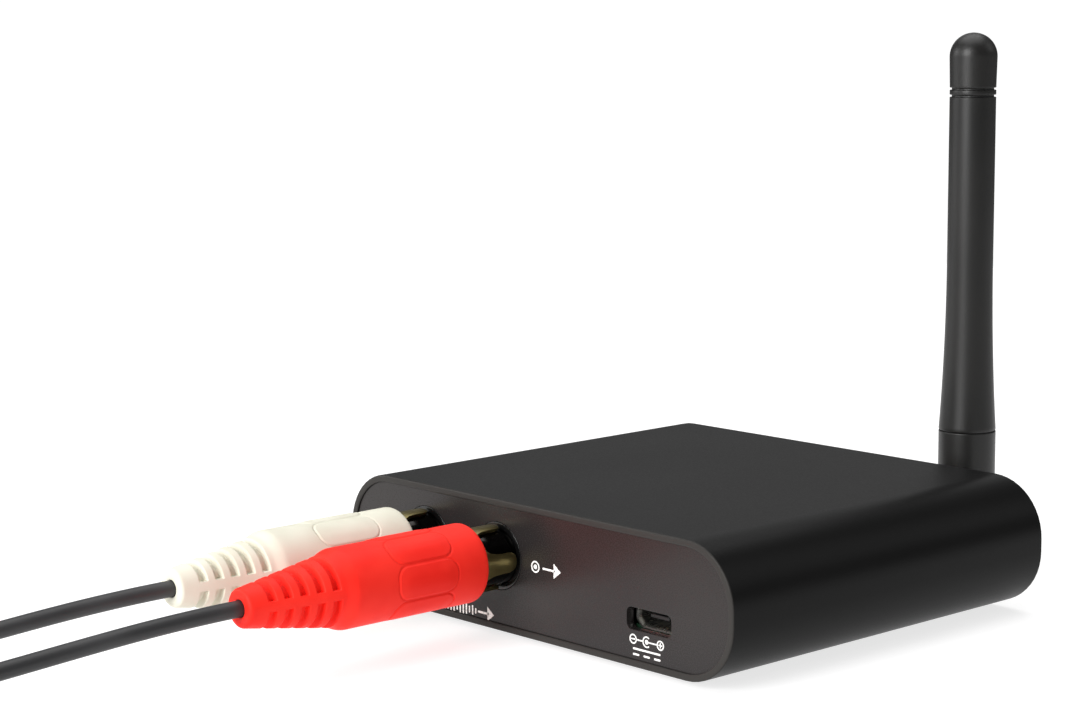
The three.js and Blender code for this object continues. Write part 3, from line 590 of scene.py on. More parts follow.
panel_finish = Finish("panel_grey", "dark_panel", Specular_IOR_Level=0.26)
speck = panel_finish.grain(0.18, 2.0)
drift = panel_finish.grain(26.0, 2.0)
panel_finish.set(
    Base_Color=panel_finish.mix(tone(36, 33, 33), tone(42, 39, 38), drift.clear(0.3, 0.7)),
    Roughness=0.27 + (speck - 0.5) * 0.1 + (drift - 0.5) * 0.08,
    Normal=panel_finish.relief(speck, 0.01, 0.6),
)
holes = {
    "jack_panel": [circle(x, socket_z, boss_hole) for x in plug_x.values()]
    + [rectangle(inlet_middle - window_half, inlet_middle + window_half, window_corner, 8)],
    "aerial_panel": [circle(aerial_x, aerial_z, stem_hole), circle(pipe_x, pipe_z, pipe_hole, 40)],
}
for name, face, inwards in (("jack_panel", jack_face, 1), ("aerial_panel", aerial_face, -1)):
    levels = rims(face, face + inwards * panel_thickness, panel_edge, 2)
    panel = build(f"{name}_plate", plate([panel_outline] + holes[name], levels), *clips(face, inwards))
    panel_finish.on(panel)
    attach(panel, "receiver")
    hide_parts(name)


# ---- Printed marks ----
# Screen printed white signs on the jack panel: a right arrow by the right socket, a sound wave and an arrow
# for the output, and the signs for a centre positive plug and for direct current under the power socket.
def bar(x0, z0, x1, z1, width):
    """A stroke from one point to another with round ends."""
    a, b = np.array([x0, z0], float), np.array([x1, z1], float)
    along = (b - a) / np.linalg.norm(b - a) * width / 2
    turn = np.linspace(-np.pi / 2, np.pi / 2, 7)[:, None]
    across = along[::-1] * [1, -1]
    tip = np.cos(turn) * along - np.sin(turn) * across
    return np.concatenate([b + tip, a - tip])


def arrow_head(x, z, size):
    return np.array([(x - size, z + size * 0.75), (x - size, z - size * 0.75), (x, z)])


def ring(x, z, radius, width):
    """A ring of ink, as its edge and its hole."""
    return [circle(x, z, radius, 40), circle(x, z, radius - width, 40)]


ink_proud, ink_sunk = 0.02, 0.03
ring_sign = (1.5, 11.8)  # X and Z
wave_start, wave_step, wave_z = -20.6, 0.72, 2.8
wave_heights = (0.5, 1.1, 1.9, 1.3, 2.3, 1.6, 0.9, 1.7, 2.4, 1.4, 0.8, 1.2, 0.6)
plug_sign_x, plug_sign_z, pole_step, thin = inlet_middle[0] - 0.4, 4.8, 2.7, 0.2
direct_z, dash_z, dash_step = 3.45, 2.65, 2.1


def level_bar(start, end, z, width):
    """A level stroke, as a mark of its own."""
    return [bar(start, z, end, z, width)]


marks = [ring(*ring_sign, 0.9, 0.24), [circle(*ring_sign, 0.36, 24)]]
marks += [level_bar(3.2, 5.6, ring_sign[1], 0.3), [arrow_head(6.95, ring_sign[1], 1.5)]]
marks += [
    [bar(wave_start + wave_step * i, wave_z - height / 2, wave_start + wave_step * i, wave_z + height / 2, 0.3)]
    for i, height in enumerate(wave_heights)
]
marks += [level_bar(-11.3, -9.1, wave_z, 0.34), [arrow_head(-7.8, wave_z, 1.5)]]
for x in (plug_sign_x - pole_step, plug_sign_x + pole_step):
    marks += [ring(x, plug_sign_z, 0.72, thin), level_bar(x - 0.3, x + 0.3, plug_sign_z, thin)]
plus_x = plug_sign_x + pole_step
marks += [[bar(plus_x, plug_sign_z + way * 0.16, plus_x, plug_sign_z + way * 0.3, thin)] for way in (-1, 1)]
marks += [[circle(plug_sign_x, plug_sign_z, 0.34, 24)]]
marks += [level_bar(plug_sign_x + 0.34, plug_sign_x + 1.98, plug_sign_z, thin)]
marks += [level_bar(plug_sign_x - 1.98, plug_sign_x - 0.83, plug_sign_z, thin)]
cup = np.radians(np.linspace(50, 310, 25))
cup_line = np.stack([np.cos(cup), np.sin(cup)], 1)
marks += [[np.concatenate([cup_line * 0.83, cup_line[::-1] * 0.63]) + [plug_sign_x, plug_sign_z]]]
marks += [level_bar(plug_sign_x - 2.6, plug_sign_x + 2.6, direct_z, 0.28)]
for x in (plug_sign_x - dash_step, plug_sign_x, plug_sign_x + dash_step):
    marks += [level_bar(x - 0.5, x + 0.5, dash_z, 0.28)]
ink = Finish("white_ink", "white_plastic", Specular_IOR_Level=0.3, Roughness=0.6)
ink.set(Base_Color=ink.mix(tone(214, 212, 208), tone(244, 243, 240), ink.grain(0.3, 2.0).clear(0.25, 0.6)))
printed = build(
    "printed_marks",
    *[plate(mark, [(jack_face + ink_sunk, 0), (jack_face - ink_proud, 0)]) for mark in marks],
)
ink.on(printed)
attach(printed, "receiver")


# ---- Feet ----
# Four self adhesive rubber discs under the case, with a round lower rim.
def turned(profile, centre=(0, 0, 0), axis="Y", around=72, joined=False, ripple=None):
    """A profile of (distance from the axis, distance along it) turned about an axis through centre: a point
    is its distance from the axis times (cos, sin) of the angle, in the two directions across the axis. A joined
    profile is a ring, and any other starts and ends on the axis or with a flat end. ripple gives new distances
    from the axis, from whole arrays of the distances, the distances along it and the angles."""
    radius, along = np.array(profile, float).T
    angle = np.linspace(0, 2 * np.pi, around, endpoint=False)[None]
    radius, along = radius[:, None] + 0 * angle, along[:, None] + 0 * angle
    if ripple:
        radius = ripple(radius, along, angle)
    order = {"X": (2, 0, 1), "Y": (0, 2, 1), "Z": (0, 1, 2)}[axis]
    rings = np.stack([radius * np.cos(angle), radius * np.sin(angle), along], -1)[..., order] + centre
    return rings, skin(rings, joined)


def lathe(corners, centre, axis="Y", around=72, steps=3):
    """A solid turned from the corners of its profile, each (distance from the axis, distance along, rounding)."""
    return turned(rounded(corners, closed=False, steps=steps), centre, axis, around)


def mottled(name, slot, low, high, grain, rough, depth, strength=1.0, **constants):
    """A finish from one tone to another by one noise, which also sets its roughness, between rough[0] where
    it is 0 and rough[0] + rough[1] where it is 1, and its fine bumps. grain is the noise's size, detail and
    stretch."""
    finish = Finish(name, slot, **constants)
    noise = finish.grain(*grain)
    finish.set(
        Base_Color=finish.mix(tone(*low), tone(*high), noise),
        Roughness=rough[0] + noise * rough[1],
        Normal=finish.relief(noise, depth, strength),
    )
    return finish


rubber = mottled(
    "foot_rubber", "black_rubber", (20, 20, 20), (34, 33, 33), (0.3,), (0.65, 0.2), 0.03, Specular_IOR_Level=0.3
)
for name in ("front_left", "front_right", "back_left", "back_right"):
    low, high = node_box(f"foot_{name}")
    middle, radius, height = (low + high) / 2, (high - low)[0] / 2, high[2]
    corners = [(0, 0, 0), (radius, 0, 0.3), (radius, height, 0.05), (0, height, 0)]
    foot = build(f"foot_pad_{name}", lathe(corners, (*middle[:2], 0), "Z", steps=5))
    rubber.on(foot)
    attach(foot, "receiver")
    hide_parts(f"foot_{name}")


# ---- Phono sockets ----
# One block of glossy black plastic with two bosses that show through the panel. In each is a black nickel
# plated barrel, a coloured liner, white for left and red for right, and a gold plated spring contact.
def tube(inner, outer, start, end, edge, **how):
    """A tube along an axis, with its four rims rounded."""
    corners = [(outer, start), (outer, end), (inner, end), (inner, start)]
    profile = rounded([(*corner, edge) for corner in corners], steps=3)
    return turned(profile, joined=True, **how)


def at_socket(side):
    return (plug_x[side], 0, socket_z)


(block_left, _, block_bottom), (block_right, block_back, block_top) = node_box("socket_block")
block_front, bore, boss, barrel, barrel_wall = jack_face + panel_thickness + 0.05, 4.2, 5.1, 4.15, 0.6
contact_radius, contact_bore, contact_floor = 2.0, 1.7, 0.3
shiny = mottled("socket_black", "black_plastic", (7, 7, 7), (14, 14, 14), (3.0, 3.0), (0.16, 0.1), 0.01)
block_outline = rectangle((block_left, block_bottom), (block_right, block_top), 0.5)
bores = [circle(x, socket_z, bore + 0.05) for x in plug_x.values()]
block = build(
    "socket_housing",
    plate([block_outline, *bores], rims(block_front, block_back, 0.25)),
    *[tube(bore, boss, jack_face, block_front + 0.2, 0.06, centre=at_socket(side)) for side in sides],
)
shiny.on(block)
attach(block, "receiver")
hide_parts("socket_block")

gold = Finish("gold_plate", "gold_plate", Metallic=1.0)
wear = gold.grain(1.6, 3.0)
gold.set(
    Base_Color=gold.mix(tone(196, 166, 98), tone(216, 186, 112), wear.clear(0.3, 0.7)),
    Roughness=0.22 + wear * 0.1,
    Normal=gold.relief(gold.grain(0.2), 0.006, 0.5),
)
dark_nickel = mottled(
    "black_nickel", "black_nickel", (26, 25, 24), (44, 42, 40), (2.0, 3.0), (0.08, 0.1), 0.008, 0.5, Metallic=1.0
)
liner_finish = {
    side: mottled(f"{side}_liner", slot, low, high, (1.2,), (0.3, 0.15), 0.01)
    for side, slot, low, high in (
        ("left", "white_plastic", (206, 202, 190), (226, 222, 212)),
        ("right", "red_plastic", (176, 28, 20), (206, 40, 30)),
    )
}
for side in sides:
    mouth, back = node_box(f"{side}_socket_barrel")[:, 1]
    shell = build(
        f"{side}_barrel", tube(barrel - barrel_wall, barrel, mouth, back, 0.2, centre=at_socket(side), around=96)
    )
    dark_nickel.on(shell)
    liner_radius = barrel - barrel_wall - 0.05
    front, back = node_box(f"{side}_socket_liner")[:, 1]
    liner = build(
        f"{side}_insulator",
        tube(contact_radius + 0.05, liner_radius, front, back, 0.25, centre=at_socket(side)),
    )
    liner_finish[side].on(liner)
    front, back = node_box(f"{side}_socket_contact")[:, 1]
    cup_corners = [
        (0, back - contact_floor, 0), (contact_bore, back - contact_floor, 0.1), (contact_bore, front, 0.08),
        (contact_radius, front, 0.2), (contact_radius, back, 0.2), (0, back, 0),
    ]
    contact = build(f"{side}_contact", lathe(cup_corners, at_socket(side)))
    gold.on(contact)
    for piece, node in ((shell, "barrel"), (liner, "liner"), (contact, "contact")):
        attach(piece, "receiver")
        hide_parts(f"{side}_socket_{node}")


# ---- Power socket ----
# A small power socket: a nickel plated sheet steel shell with a flared mouth, folded round a black moulding
# whose tongue carries five gold plated contacts.
(shell_left, shell_front, shell_low), (shell_right, shell_back, shell_high) = node_box("usb_shell")
inlet_slant, inlet_wall, inlet_flare = 0.9, 0.3, 0.3


def inlet_outline(shrink=0.0):
    """The socket's outline, flat on top and with its two lower corners cut off at 45 degrees."""
    flat = [
        (shell_left, shell_high, 0.55), (shell_left, shell_low + inlet_slant, 0.45),
        (shell_left + inlet_slant, shell_low, 0.45), (shell_right - inlet_slant, shell_low, 0.45),
        (shell_right, shell_low + inlet_slant, 0.45), (shell_right, shell_high, 0.55),
    ]
    return inward(rounded(flat), shrink)


steel = mottled(
    "nickel_plate", "nickel", (158, 157, 152), (196, 195, 190), (0.5, 3.0, (1, 6, 1)), (0.2, 0.18), 0.006, 0.6,
    Metallic=1.0,
)
moulding = mottled("socket_moulding", "black_plastic", (12, 12, 12), (24, 24, 24), (0.5,), (0.35, 0.2), 0.01)
flared = [
    (shell_front + 0.04, -inlet_flare), (shell_front + 0.25, -inlet_flare * 0.7),
    (shell_front + 0.5, -inlet_flare * 0.25),
    (shell_front + 0.75, 0), (shell_front + 1.1, 0), (shell_back - 0.05, 0), (shell_back, 0.05),
    (shell_back, inlet_wall - 0.05), (shell_back - 0.05, inlet_wall), (shell_front + 1.1, inlet_wall),
    (shell_front + 0.8, inlet_wall), (shell_front + 0.5, inlet_wall * 0.75), (shell_front + 0.2, inlet_wall * 0.3),
    (shell_front, 0.0),
]
inlet_rings = stacked(inlet_outline(), flared)
inlet_shell = build("power_socket_shell", (inlet_rings, skin(inlet_rings, joined=True)), crease=50)
steel.on(inlet_shell)
core_start, tongue_start = shell_back - 3.4 / 3, node_box("usb_tongue")[0, 1]
tongue_low, tongue_high, tongue_half = inlet_middle[1], inlet_middle[1] + 0.6, 1.85
strip_pitch, strip_half, strip_proud = 0.65, 0.15, 0.07
tongue_outline = rectangle(
    (inlet_middle[0] - tongue_half, tongue_low), (inlet_middle[0] + tongue_half, tongue_high), 0.12, 3
)
tongue = build(
    "power_socket_tongue",
    solid(inlet_outline(inlet_wall + 0.05), rims(core_start, shell_back, 0.1)),
    solid(tongue_outline, rims(tongue_start, core_start + 0.3, 0.15)),
)
moulding.on(tongue)
strip_outlines = [
    rectangle((x - strip_half, tongue_low - strip_proud), (x + strip_half, tongue_low + 0.1), 0.03, 2)
    for x in inlet_middle[0] + strip_pitch * np.arange(-2, 3)
]
strip_levels = rims(tongue_start + 0.35, core_start + 0.2, 0.03)
strips = build("power_socket_contacts", *[solid(outline, strip_levels) for outline in strip_outlines])
gold.on(strips)
for piece in (inlet_shell, tongue, strips):
    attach(piece, "receiver")
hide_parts("usb_shell")
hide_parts("usb_tongue")


# ---- Board and its parts ----
# A green glass fibre board in the case's ribs, with an audio chip, two coupling capacitors, a lamp, and a
# radio module under a tin plated shield that a thin coax joins to the aerial socket.
mask = Finish("solder_mask", "circuit_board", Specular_IOR_Level=0.5)
glass = mask.grain(0.6, 2.0)
tracks = mask.add("ShaderNodeTexVoronoi", {"feature": "DISTANCE_TO_EDGE"}, {"Vector": mask.place(), "Scale": 260.0})
mask.set(
    Base_Color=mask.mix(tone(20, 56, 32), tone(10, 34, 20), tracks.clear(0.02, 0.08) * 0.8 + glass * 0.2),
    Roughness=0.3 + glass * 0.15,
    Normal=mask.relief(tracks.clear(0.02, 0.08), 0.03),
)
mask.on(frame["nodes"]["circuit_board"], frame["nodes"]["radio_module"])
shield_tin = mottled(
    "shield_tin", "nickel", (170, 170, 166), (206, 205, 200), (0.6, 3.0, (8, 1, 1)), (0.28, 0.16), 0.008, Metallic=1.0
)
shield_tin.on(frame["nodes"]["module_shield"])
moulding.on(frame["nodes"]["audio_chip"])
lamp_finish = mottled("lamp_body", "white_plastic", (224, 222, 214), (240, 238, 230), (0.7,), (0.3, 0.15), 0.01)
lamp_finish.on(frame["nodes"]["power_lamp"])
coax = mottled(
    "coax_jacket", "black_plastic", (20, 20, 21), (36, 36, 37), (1.5, 3.0), (0.35, 0.2), 0.01, Specular_IOR_Level=0.45
)
coax.on(frame["nodes"]["pigtail_coax"])
gold.on(frame["nodes"]["pigtail_plug"])
crimp_depth, lid_depth = 0.3, 0.12
for side in sides:
    low, high = node_box(f"{side}_coupling_capacitor")
    middle, radius, (z0, z1) = (low + high) / 2, (high - low)[0] / 2, (low[2], high[2])
    neck = radius - crimp_depth
    can_corners = [
        (0, z0, 0), (radius, z0, 0.2), (radius, z0 + 0.9, 0.1), (neck, z0 + 1.1, 0.1),
        (neck, z0 + 1.3, 0.1), (radius, z0 + 1.5, 0.1), (radius, z1, 0.35), (radius - 0.6, z1, 0.1),
        (radius - 0.75, z1 - lid_depth, 0.1), (0, z1 - lid_depth, 0),
    ]
    can = build(f"{side}_capacitor_can", lathe(can_corners, (*middle[:2], 0), "Z", 48))
    shield_tin.on(can)
    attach(can, "receiver")
    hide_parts(f"{side}_coupling_capacitor")

# A clear acrylic rod carries the lamp's light to a domed head in the aerial panel.
acrylic = mottled(
    "light_pipe", "clear_plastic", (226, 236, 240), (240, 246, 248), (1.0,), (0.08, 0.1), 0.01,
    Transmission_Weight=0.9, IOR=1.49,
)
pipe_start, pipe_end = node_box("light_pipe")[:, 1]
pipe_radius = 1.5
pipe_corners = [
    (0, pipe_start, 0), (pipe_radius, pipe_start, 0.1), (pipe_radius, pipe_end - 0.35, 0.3),
    (pipe_radius - 0.4, pipe_end - 0.1, 0.4), (0, pipe_end, 0),
]
pipe = build("light_pipe_rod", lathe(pipe_corners, (pipe_x, 0, pipe_z), around=40))
acrylic.on(pipe)
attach(pipe, "receiver")
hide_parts("light_pipe")


# ---- Phono plugs ----
# Soft PVC moulded over each plug: a collar, seven shallow finger pads, a shoulder, and a boot with slots cut
# across it so that it bends with the cord. Two are in the receiver and two are on the far ends of the leads.
plug_mouth = jack_face - node_box("left_plug_body")[1, 1]
plug_length = np.ptp(node_box("left_plug_body")[:, 1])
far_mouth = jack_face - node_box("left_far_plug_body")[0, 1]
far_z = node_box("left_far_plug_body")[:, 2].mean()
plug_radius, body_radius, boot_radius, boot_end_radius = 5.95, 5.88, 5.2, 2.85
collar_end, body_end, boot_start, lip = 5.4, 23.6, 25.9, 0.6
ring_outer, ring_inner, ring_socket = 4.85, 4.25, 4.2
pad_count, pad_turn, pad_start, pad_end, pad_corner = 7, math.radians(3.3), 5.9, 16.9, 2.0
slot_pitch, slot_half, slot_depth = 2.45, 0.62, 1.0
slot_places = 27.2 + slot_pitch * np.arange(5)
bridge_turn, bridge_half = math.radians(5), 0.8


def smooth(value, low, high):
    """0 below low, 1 above high, and 3t^2 - 2t^3 between."""
    t = np.clip((value - low) / (high - low), 0, 1)
    return t * t * (3 - 2 * t)


def plug_surface(s, angle):
    """The distance of the moulded body from its axis, s from its mouth and at an angle about it.
    The body is a collar, a slightly smaller barrel, a shoulder, and a straight taper. A pad is a round cornered
    box on the unrolled barrel: d is the distance outside it, less than 0 inside. The pad stands up where d is
    below 0, is highest in its middle, and has a fine groove along d = 0. A slot is a box along s, cut only
    where the angle is clear of the two bridges that hold the boot together."""
    taper = boot_radius + (boot_end_radius - boot_radius) * (s - boot_start) / (plug_length - lip - boot_start)
    radius = plug_radius + (body_radius - plug_radius) * smooth(s, collar_end - 2.0, collar_end + 2.0)
    radius = radius + (taper - radius) * smooth(s, body_end, boot_start)
    pitch = 2 * np.pi / pad_count
    around = ((angle - pad_turn + pitch / 2) % pitch - pitch / 2) * body_radius
    half = np.array([pitch / 2 * body_radius - 0.12, (pad_end - pad_start) / 2]) - pad_corner
    u, v = np.abs(around) - half[0], np.abs(s - (pad_start + pad_end) / 2) - half[1]
    d = np.hypot(np.maximum(u, 0), np.maximum(v, 0)) + np.minimum(np.maximum(u, v), 0) - pad_corner
    pads = 0.07 * smooth(-d, 0.0, 0.3) + 0.1 * smooth(-d, 0.2, 2.2)
    groove = 0.12 * smooth(0.2 - np.abs(d - 0.02), 0.0, 0.18)
    off = np.abs((s - slot_places[0] + slot_pitch / 2) % slot_pitch - slot_pitch / 2)
    slotted = (s > slot_places[0] - slot_pitch / 2) * (s < slot_places[-1] + slot_pitch / 2)
    row = smooth(-off, -slot_half - 0.06, -slot_half + 0.06) * slotted
    bridge = np.minimum(*(np.abs((angle - bridge_turn - k * np.pi + np.pi) % (2 * np.pi) - np.pi) for k in (0, 1)))
    cut = row * smooth(bridge * radius, bridge_half - 0.08, bridge_half + 0.08)
    return radius + pads - groove - slot_depth * cut


def spread(*stops):
    """Numbers from stop to stop, given as (stop, steps up to it)."""
    runs = [np.linspace(a, b, steps, endpoint=False) for (a, _), (b, steps) in zip(stops, stops[1:])]
    return np.concatenate(runs + [[stops[-1][0]]])


half_rows = [0.44, 0.54, 0.58, 0.62, 0.66, 0.7, 0.78, 1.0]  # from the middle of a slot, close at its edge
edge_rows = np.array([*(-row for row in half_rows[::-1]), 0.0, *half_rows])
body_rows = np.concatenate(
    [
        spread((lip, 0), (collar_end - 0.1, 6), (pad_start + 0.5, 14), (pad_start + 2.4, 16), (pad_end - 2.4, 16),
               (pad_end + 0.5, 26), (pad_end + 1.6, 5), (body_end, 5), (boot_start, 12)),
        (slot_places[:, None] + edge_rows).ravel(),
        spread((slot_places[-1] + 1.3, 0), (plug_length - lip, 4)),
    ]
)
cup_radius, cup_floor = ring_outer + 0.03, ring_socket - 0.05
hole_radius, hole_floor = cord_diameter / 2 + 0.06, plug_length - 1.5
mouth_cup = rounded(
    [(0, cup_floor, 0), (cup_radius, cup_floor, 0.1), (cup_radius, 0, 0.12), (plug_radius - lip, 0, 0)],
    closed=False, steps=2,
)
lip_turn = np.linspace(0, np.pi / 2, 6)
mouth_edge = np.stack([plug_radius - lip * (1 - np.sin(lip_turn)), lip * (1 - np.cos(lip_turn))], 1)[1:-1]
end_start = plug_length - lip
end_edge = np.stack([boot_end_radius - lip * (1 - np.cos(lip_turn)), end_start + lip * np.sin(lip_turn)], 1)[1:]
cord_hole = rounded(
    [(boot_end_radius - lip - 0.2, plug_length, 0), (hole_radius, plug_length, 0.15),
     (hole_radius, hole_floor, 0.1), (0, hole_floor, 0)],
    closed=False, steps=3,
)


def plug_body(x, mouth, z, way):
    """A plug's moulded body: one grid from the floor of the cup round its ring, out over the mouth, along the
    body, and in over the boot's end to the floor of the cord's hole. way is 1 facing the receiver, else -1."""
    angle = np.linspace(0, 2 * np.pi, 288, endpoint=False)[None]
    fixed = [np.repeat(part[:, :, None], angle.size, 2) for part in (mouth_cup, mouth_edge, end_edge, cord_hole)]
    s = np.broadcast_to(body_rows[:, None], (len(body_rows), angle.size))
    side_part = np.stack([plug_surface(s, angle), s], 1)
    radius, s = np.moveaxis(np.concatenate([fixed[0], fixed[1], side_part, fixed[2], fixed[3]]), 1, 0)
    rings = np.stack([x + way * radius * np.cos(angle), mouth - way * s, z + radius * np.sin(angle)], -1)
    return rings, skin(rings)


def plug_ring(x, mouth, z, way, reach=6.2, root=0.7, tip=1.55, foot=2.9, petals=4):
    """The ground ring of a plug: a tube cut into four petals, each flared at its root. On the unrolled tube the
    tip of a petal is half a superellipse of power 2.6. From there its side runs back by a quarter sine wave
    while its half width grows from tip to foot as the power 2.5 of the way run."""
    t = np.linspace(0, np.pi / 2, 13)
    back = np.linspace(0, 1, 13)[1:]
    across = np.concatenate([tip * np.sin(t) ** (2 / 2.6), tip + (foot - tip) * back**2.5])
    out = np.concatenate(
        [reach - tip + tip * np.cos(t) ** (2 / 2.6), reach - tip - (reach - tip - root) * np.sin(back * np.pi / 2)]
    )
    quarter = np.pi * 2 / petals
    gap = np.linspace(foot / ring_outer, quarter - foot / ring_outer, 6)[1:-1]
    angle = np.concatenate([-across[:0:-1] / ring_outer, across / ring_outer, gap])
    ends = np.tile(np.concatenate([out[:0:-1], out, 0 * gap + root]), petals)
    angle = (angle + np.arange(petals)[:, None] * quarter).ravel()
    part, edge = np.linspace(0, 1, 12), 0.14
    rows = [(ring_outer, f, edge) for f in part]
    rows += [(ring_outer - 0.04, 1, 0.04), (ring_outer - edge, 1, 0), (ring_inner + edge, 1, 0)]
    rows += [(ring_inner + 0.04, 1, 0.04)] + [(ring_inner, f, edge) for f in part[::-1]]
    radius, f, short = (column[:, None] for column in np.array(rows).T)
    start = 0.05 - ring_socket
    along = start + f * (ends[None] - short - start)
    rings = np.stack([x + way * radius * np.cos(angle), mouth + way * along, z + radius * np.sin(angle)], -1)
    return rings, skin(rings, joined=True)


ring_plate = Finish("ring_plate", "gold_plate", Metallic=1.0)
dull = ring_plate.grain(2.5, 2.0)
ring_plate.set(
    Base_Color=ring_plate.mix(tone(150, 139, 92), tone(164, 151, 100), dull),
    Roughness=0.3 + (dull - 0.5) * 0.08,
    Normal=ring_plate.relief(ring_plate.grain(0.2), 0.004, 0.4),
)
pvc = {}
for side, low, high in (("left", (214, 211, 194), (224, 222, 206)), ("right", (244, 40, 30), (252, 50, 38))):
    slot = "white_plug_plastic" if side == "left" else "red_plug_plastic"
    pvc[side] = Finish(f"{side}_plug_pvc", slot, Specular_IOR_Level=0.12)
    skin_grain = pvc[side].grain(0.25, 2.0)
    cast = pvc[side].grain(7.0, 2.0)
    pvc[side].set(
        Base_Color=pvc[side].mix(tone(*low), tone(*high), cast.clear(0.3, 0.7)),
        Roughness=0.5 + (skin_grain - 0.5) * 0.16 + (cast - 0.5) * 0.1,
        Normal=pvc[side].relief(skin_grain, 0.01, 0.5),
    )
core_back, core_thickness, core_hole = -ring_socket + 0.05, 1.2, 1.65
pin_radius, pin_reach, pin_nose, pin_end_radius = 1.6, 11.6, 1.2, 0.75
plug_places = (("", jack_face - plug_mouth, socket_z, 1), ("far_", jack_face - far_mouth, far_z, -1))
plugs = {side: [] for side in sides}
for side in sides:
    x = plug_x[side]
    for where, mouth, z, way in plug_places:
        body = build(f"{side}_{where}plug", plug_body(x, mouth, z, way), crease=70)
        pvc[side].on(body)
        petals = build(f"{side}_{where}plug_petals", plug_ring(x, mouth, z, way), crease=40)
        pin_back, tip = mouth + way * core_back, mouth + way * pin_reach
        core_ends = sorted((pin_back, mouth + way * (core_back + core_thickness)))
        disc_shell = tube(core_hole, ring_inner - 0.05, *core_ends, 0.12, centre=(x, 0, z))
        disc = build(f"{side}_{where}plug_disc", disc_shell)
        moulding.on(disc)
        pin_corners = [
            (0, pin_back, 0), (pin_radius, pin_back, 0.1), (pin_radius, tip - way * pin_nose, 0.6),
            (pin_end_radius, tip, 0.5), (0, tip, 0),
        ]
        pin = build(f"{side}_{where}plug_tip", lathe(pin_corners, (x, 0, z), around=48, steps=4))
        ring_plate.on(petals)
        gold.on(pin)
        for piece, node in ((body, "body"), (petals, "ring"), (disc, "core"), (pin, "pin")):
            plugs[side].append(piece)
            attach(piece, f"{side}_lead")
            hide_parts(f"{side}_{where}plug_{node}")


# ---- Aerial socket ----
# A gold plated threaded stem through the back panel, with a toothed lock washer and a chamfered hexagon nut.
def threaded(radius, along, angle, start, end, pitch=0.64, depth=0.22):
    """A screw thread between start and end: the depth times how far a triangle wave of along / pitch +
    angle / 2 pi is from its crest, faded out at both ends and only where the radius is the stem's."""
    wave = np.abs(((along / pitch + angle / (2 * np.pi)) % 1) - 0.5) * 2
    fade = smooth(along, start, start + pitch) * (1 - smooth(along, end - pitch, end))
    return radius - depth * wave * fade * (radius > stem_radius - 0.01)


stem_radius, stem_end, stem_mouth = 3.1, aerial_face + 9.5, 2.3
flange_back, flange_front, crimp_start = aerial_face - 3.55, aerial_face - 1.55, node_box("aerial_socket")[0, 1]
stem_rows = np.linspace(aerial_face - 1.2, stem_end - 0.4, 90)
stem = np.concatenate(
    [
        rounded([(0, crimp_start, 0), (1.4, crimp_start, 0.15), (1.4, flange_back + 0.5, 0)], closed=False, steps=3),
        [(stem_radius, flange_back + 0.5)], np.stack([0 * stem_rows + stem_radius, stem_rows], 1),
        rounded(
            [(stem_radius, stem_end - 0.3, 0), (stem_radius, stem_end, 0.2), (stem_mouth, stem_end, 0.15),
             (stem_mouth, stem_end - 3.4, 0.1), (0, stem_end - 3.4, 0)], closed=False, steps=3,
        ),
    ]
)
at_aerial = (aerial_x, 0, aerial_z)


def stem_thread(radius, along, angle):
    return threaded(radius, along, angle, aerial_face - 1.0, stem_end - 0.5)


def hexagon(flats, cap=None):
    """How far a hexagon's side is from its axis at each angle, flats / 2 / cos(angle from the middle of the
    side), and no more than cap gives at each distance along the axis, for the chamfer of a nut."""

    def ripple(radius, along, angle):
        side = flats / 2 / np.cos((angle + np.pi / 6) % (np.pi / 3) - np.pi / 6)
        side = np.minimum(side, cap(along)) if cap else side
        return np.where(radius > flats / 2 - 0.01, side + 0 * radius, radius)

    return ripple


flats = 8.0
flange = [(0.5, flange_back), (flats / 2, flange_back), (flats / 2, flange_front), (0.5, flange_front)]
socket = build(
    "aerial_socket_stem",
    turned(stem, at_aerial, around=72, ripple=stem_thread),
    turned(flange, at_aerial, around=72, joined=True, ripple=hexagon(flats)),
)
gold.on(socket)
washer_inner, washer_outer = 3.2, 4.4
washer_start, washer_end = node_box("lock_washer")[:, 1]
nut_start, nut_end = node_box("panel_nut")[:, 1]


def teeth(radius, along, angle):
    """Twelve teeth round the washer's rim, each half a pitch wide with short sloping sides."""
    notch = smooth(np.abs((angle * 12 / (2 * np.pi)) % 1 - 0.5), 0.2, 0.3)
    return radius - 0.5 * notch * (radius > washer_outer - 0.1)


washer_profile = rounded(
    [(washer_outer, washer_start, 0.06), (washer_outer, washer_end, 0.06), (washer_inner, washer_end, 0.06),
     (washer_inner, washer_start, 0.06)], steps=2,
)
washer = build("toothed_washer", turned(washer_profile, at_aerial, around=240, joined=True, ripple=teeth))
steel.on(washer)


def nut_cap(along):
    """The chamfer turned on both faces of the nut: a 30 degree cone from just outside its flats."""
    inside = np.minimum(along - nut_start, nut_end - along)
    return flats / 2 + 0.12 + inside * math.tan(math.radians(60))


nut_rows = [nut_start, nut_start + 0.08, nut_start + 0.16, nut_start + 0.24, nut_start + 0.32,
            nut_end - 0.32, nut_end - 0.24, nut_end - 0.16, nut_end - 0.08, nut_end]
nut_profile = [(flats / 2, y) for y in nut_rows] + [
    (washer_inner + 0.3, nut_end), (washer_inner, nut_end - 0.3), (washer_inner, nut_start + 0.3),
    (washer_inner + 0.3, nut_start),
]
nut = build("hexagon_nut", turned(nut_profile, at_aerial, around=144, joined=True, ripple=hexagon(flats, nut_cap)))
gold.on(nut)
for piece, node in ((socket, "aerial_socket"), (washer, "lock_washer"), (nut, "panel_nut")):
    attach(piece, "receiver")
    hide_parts(node)


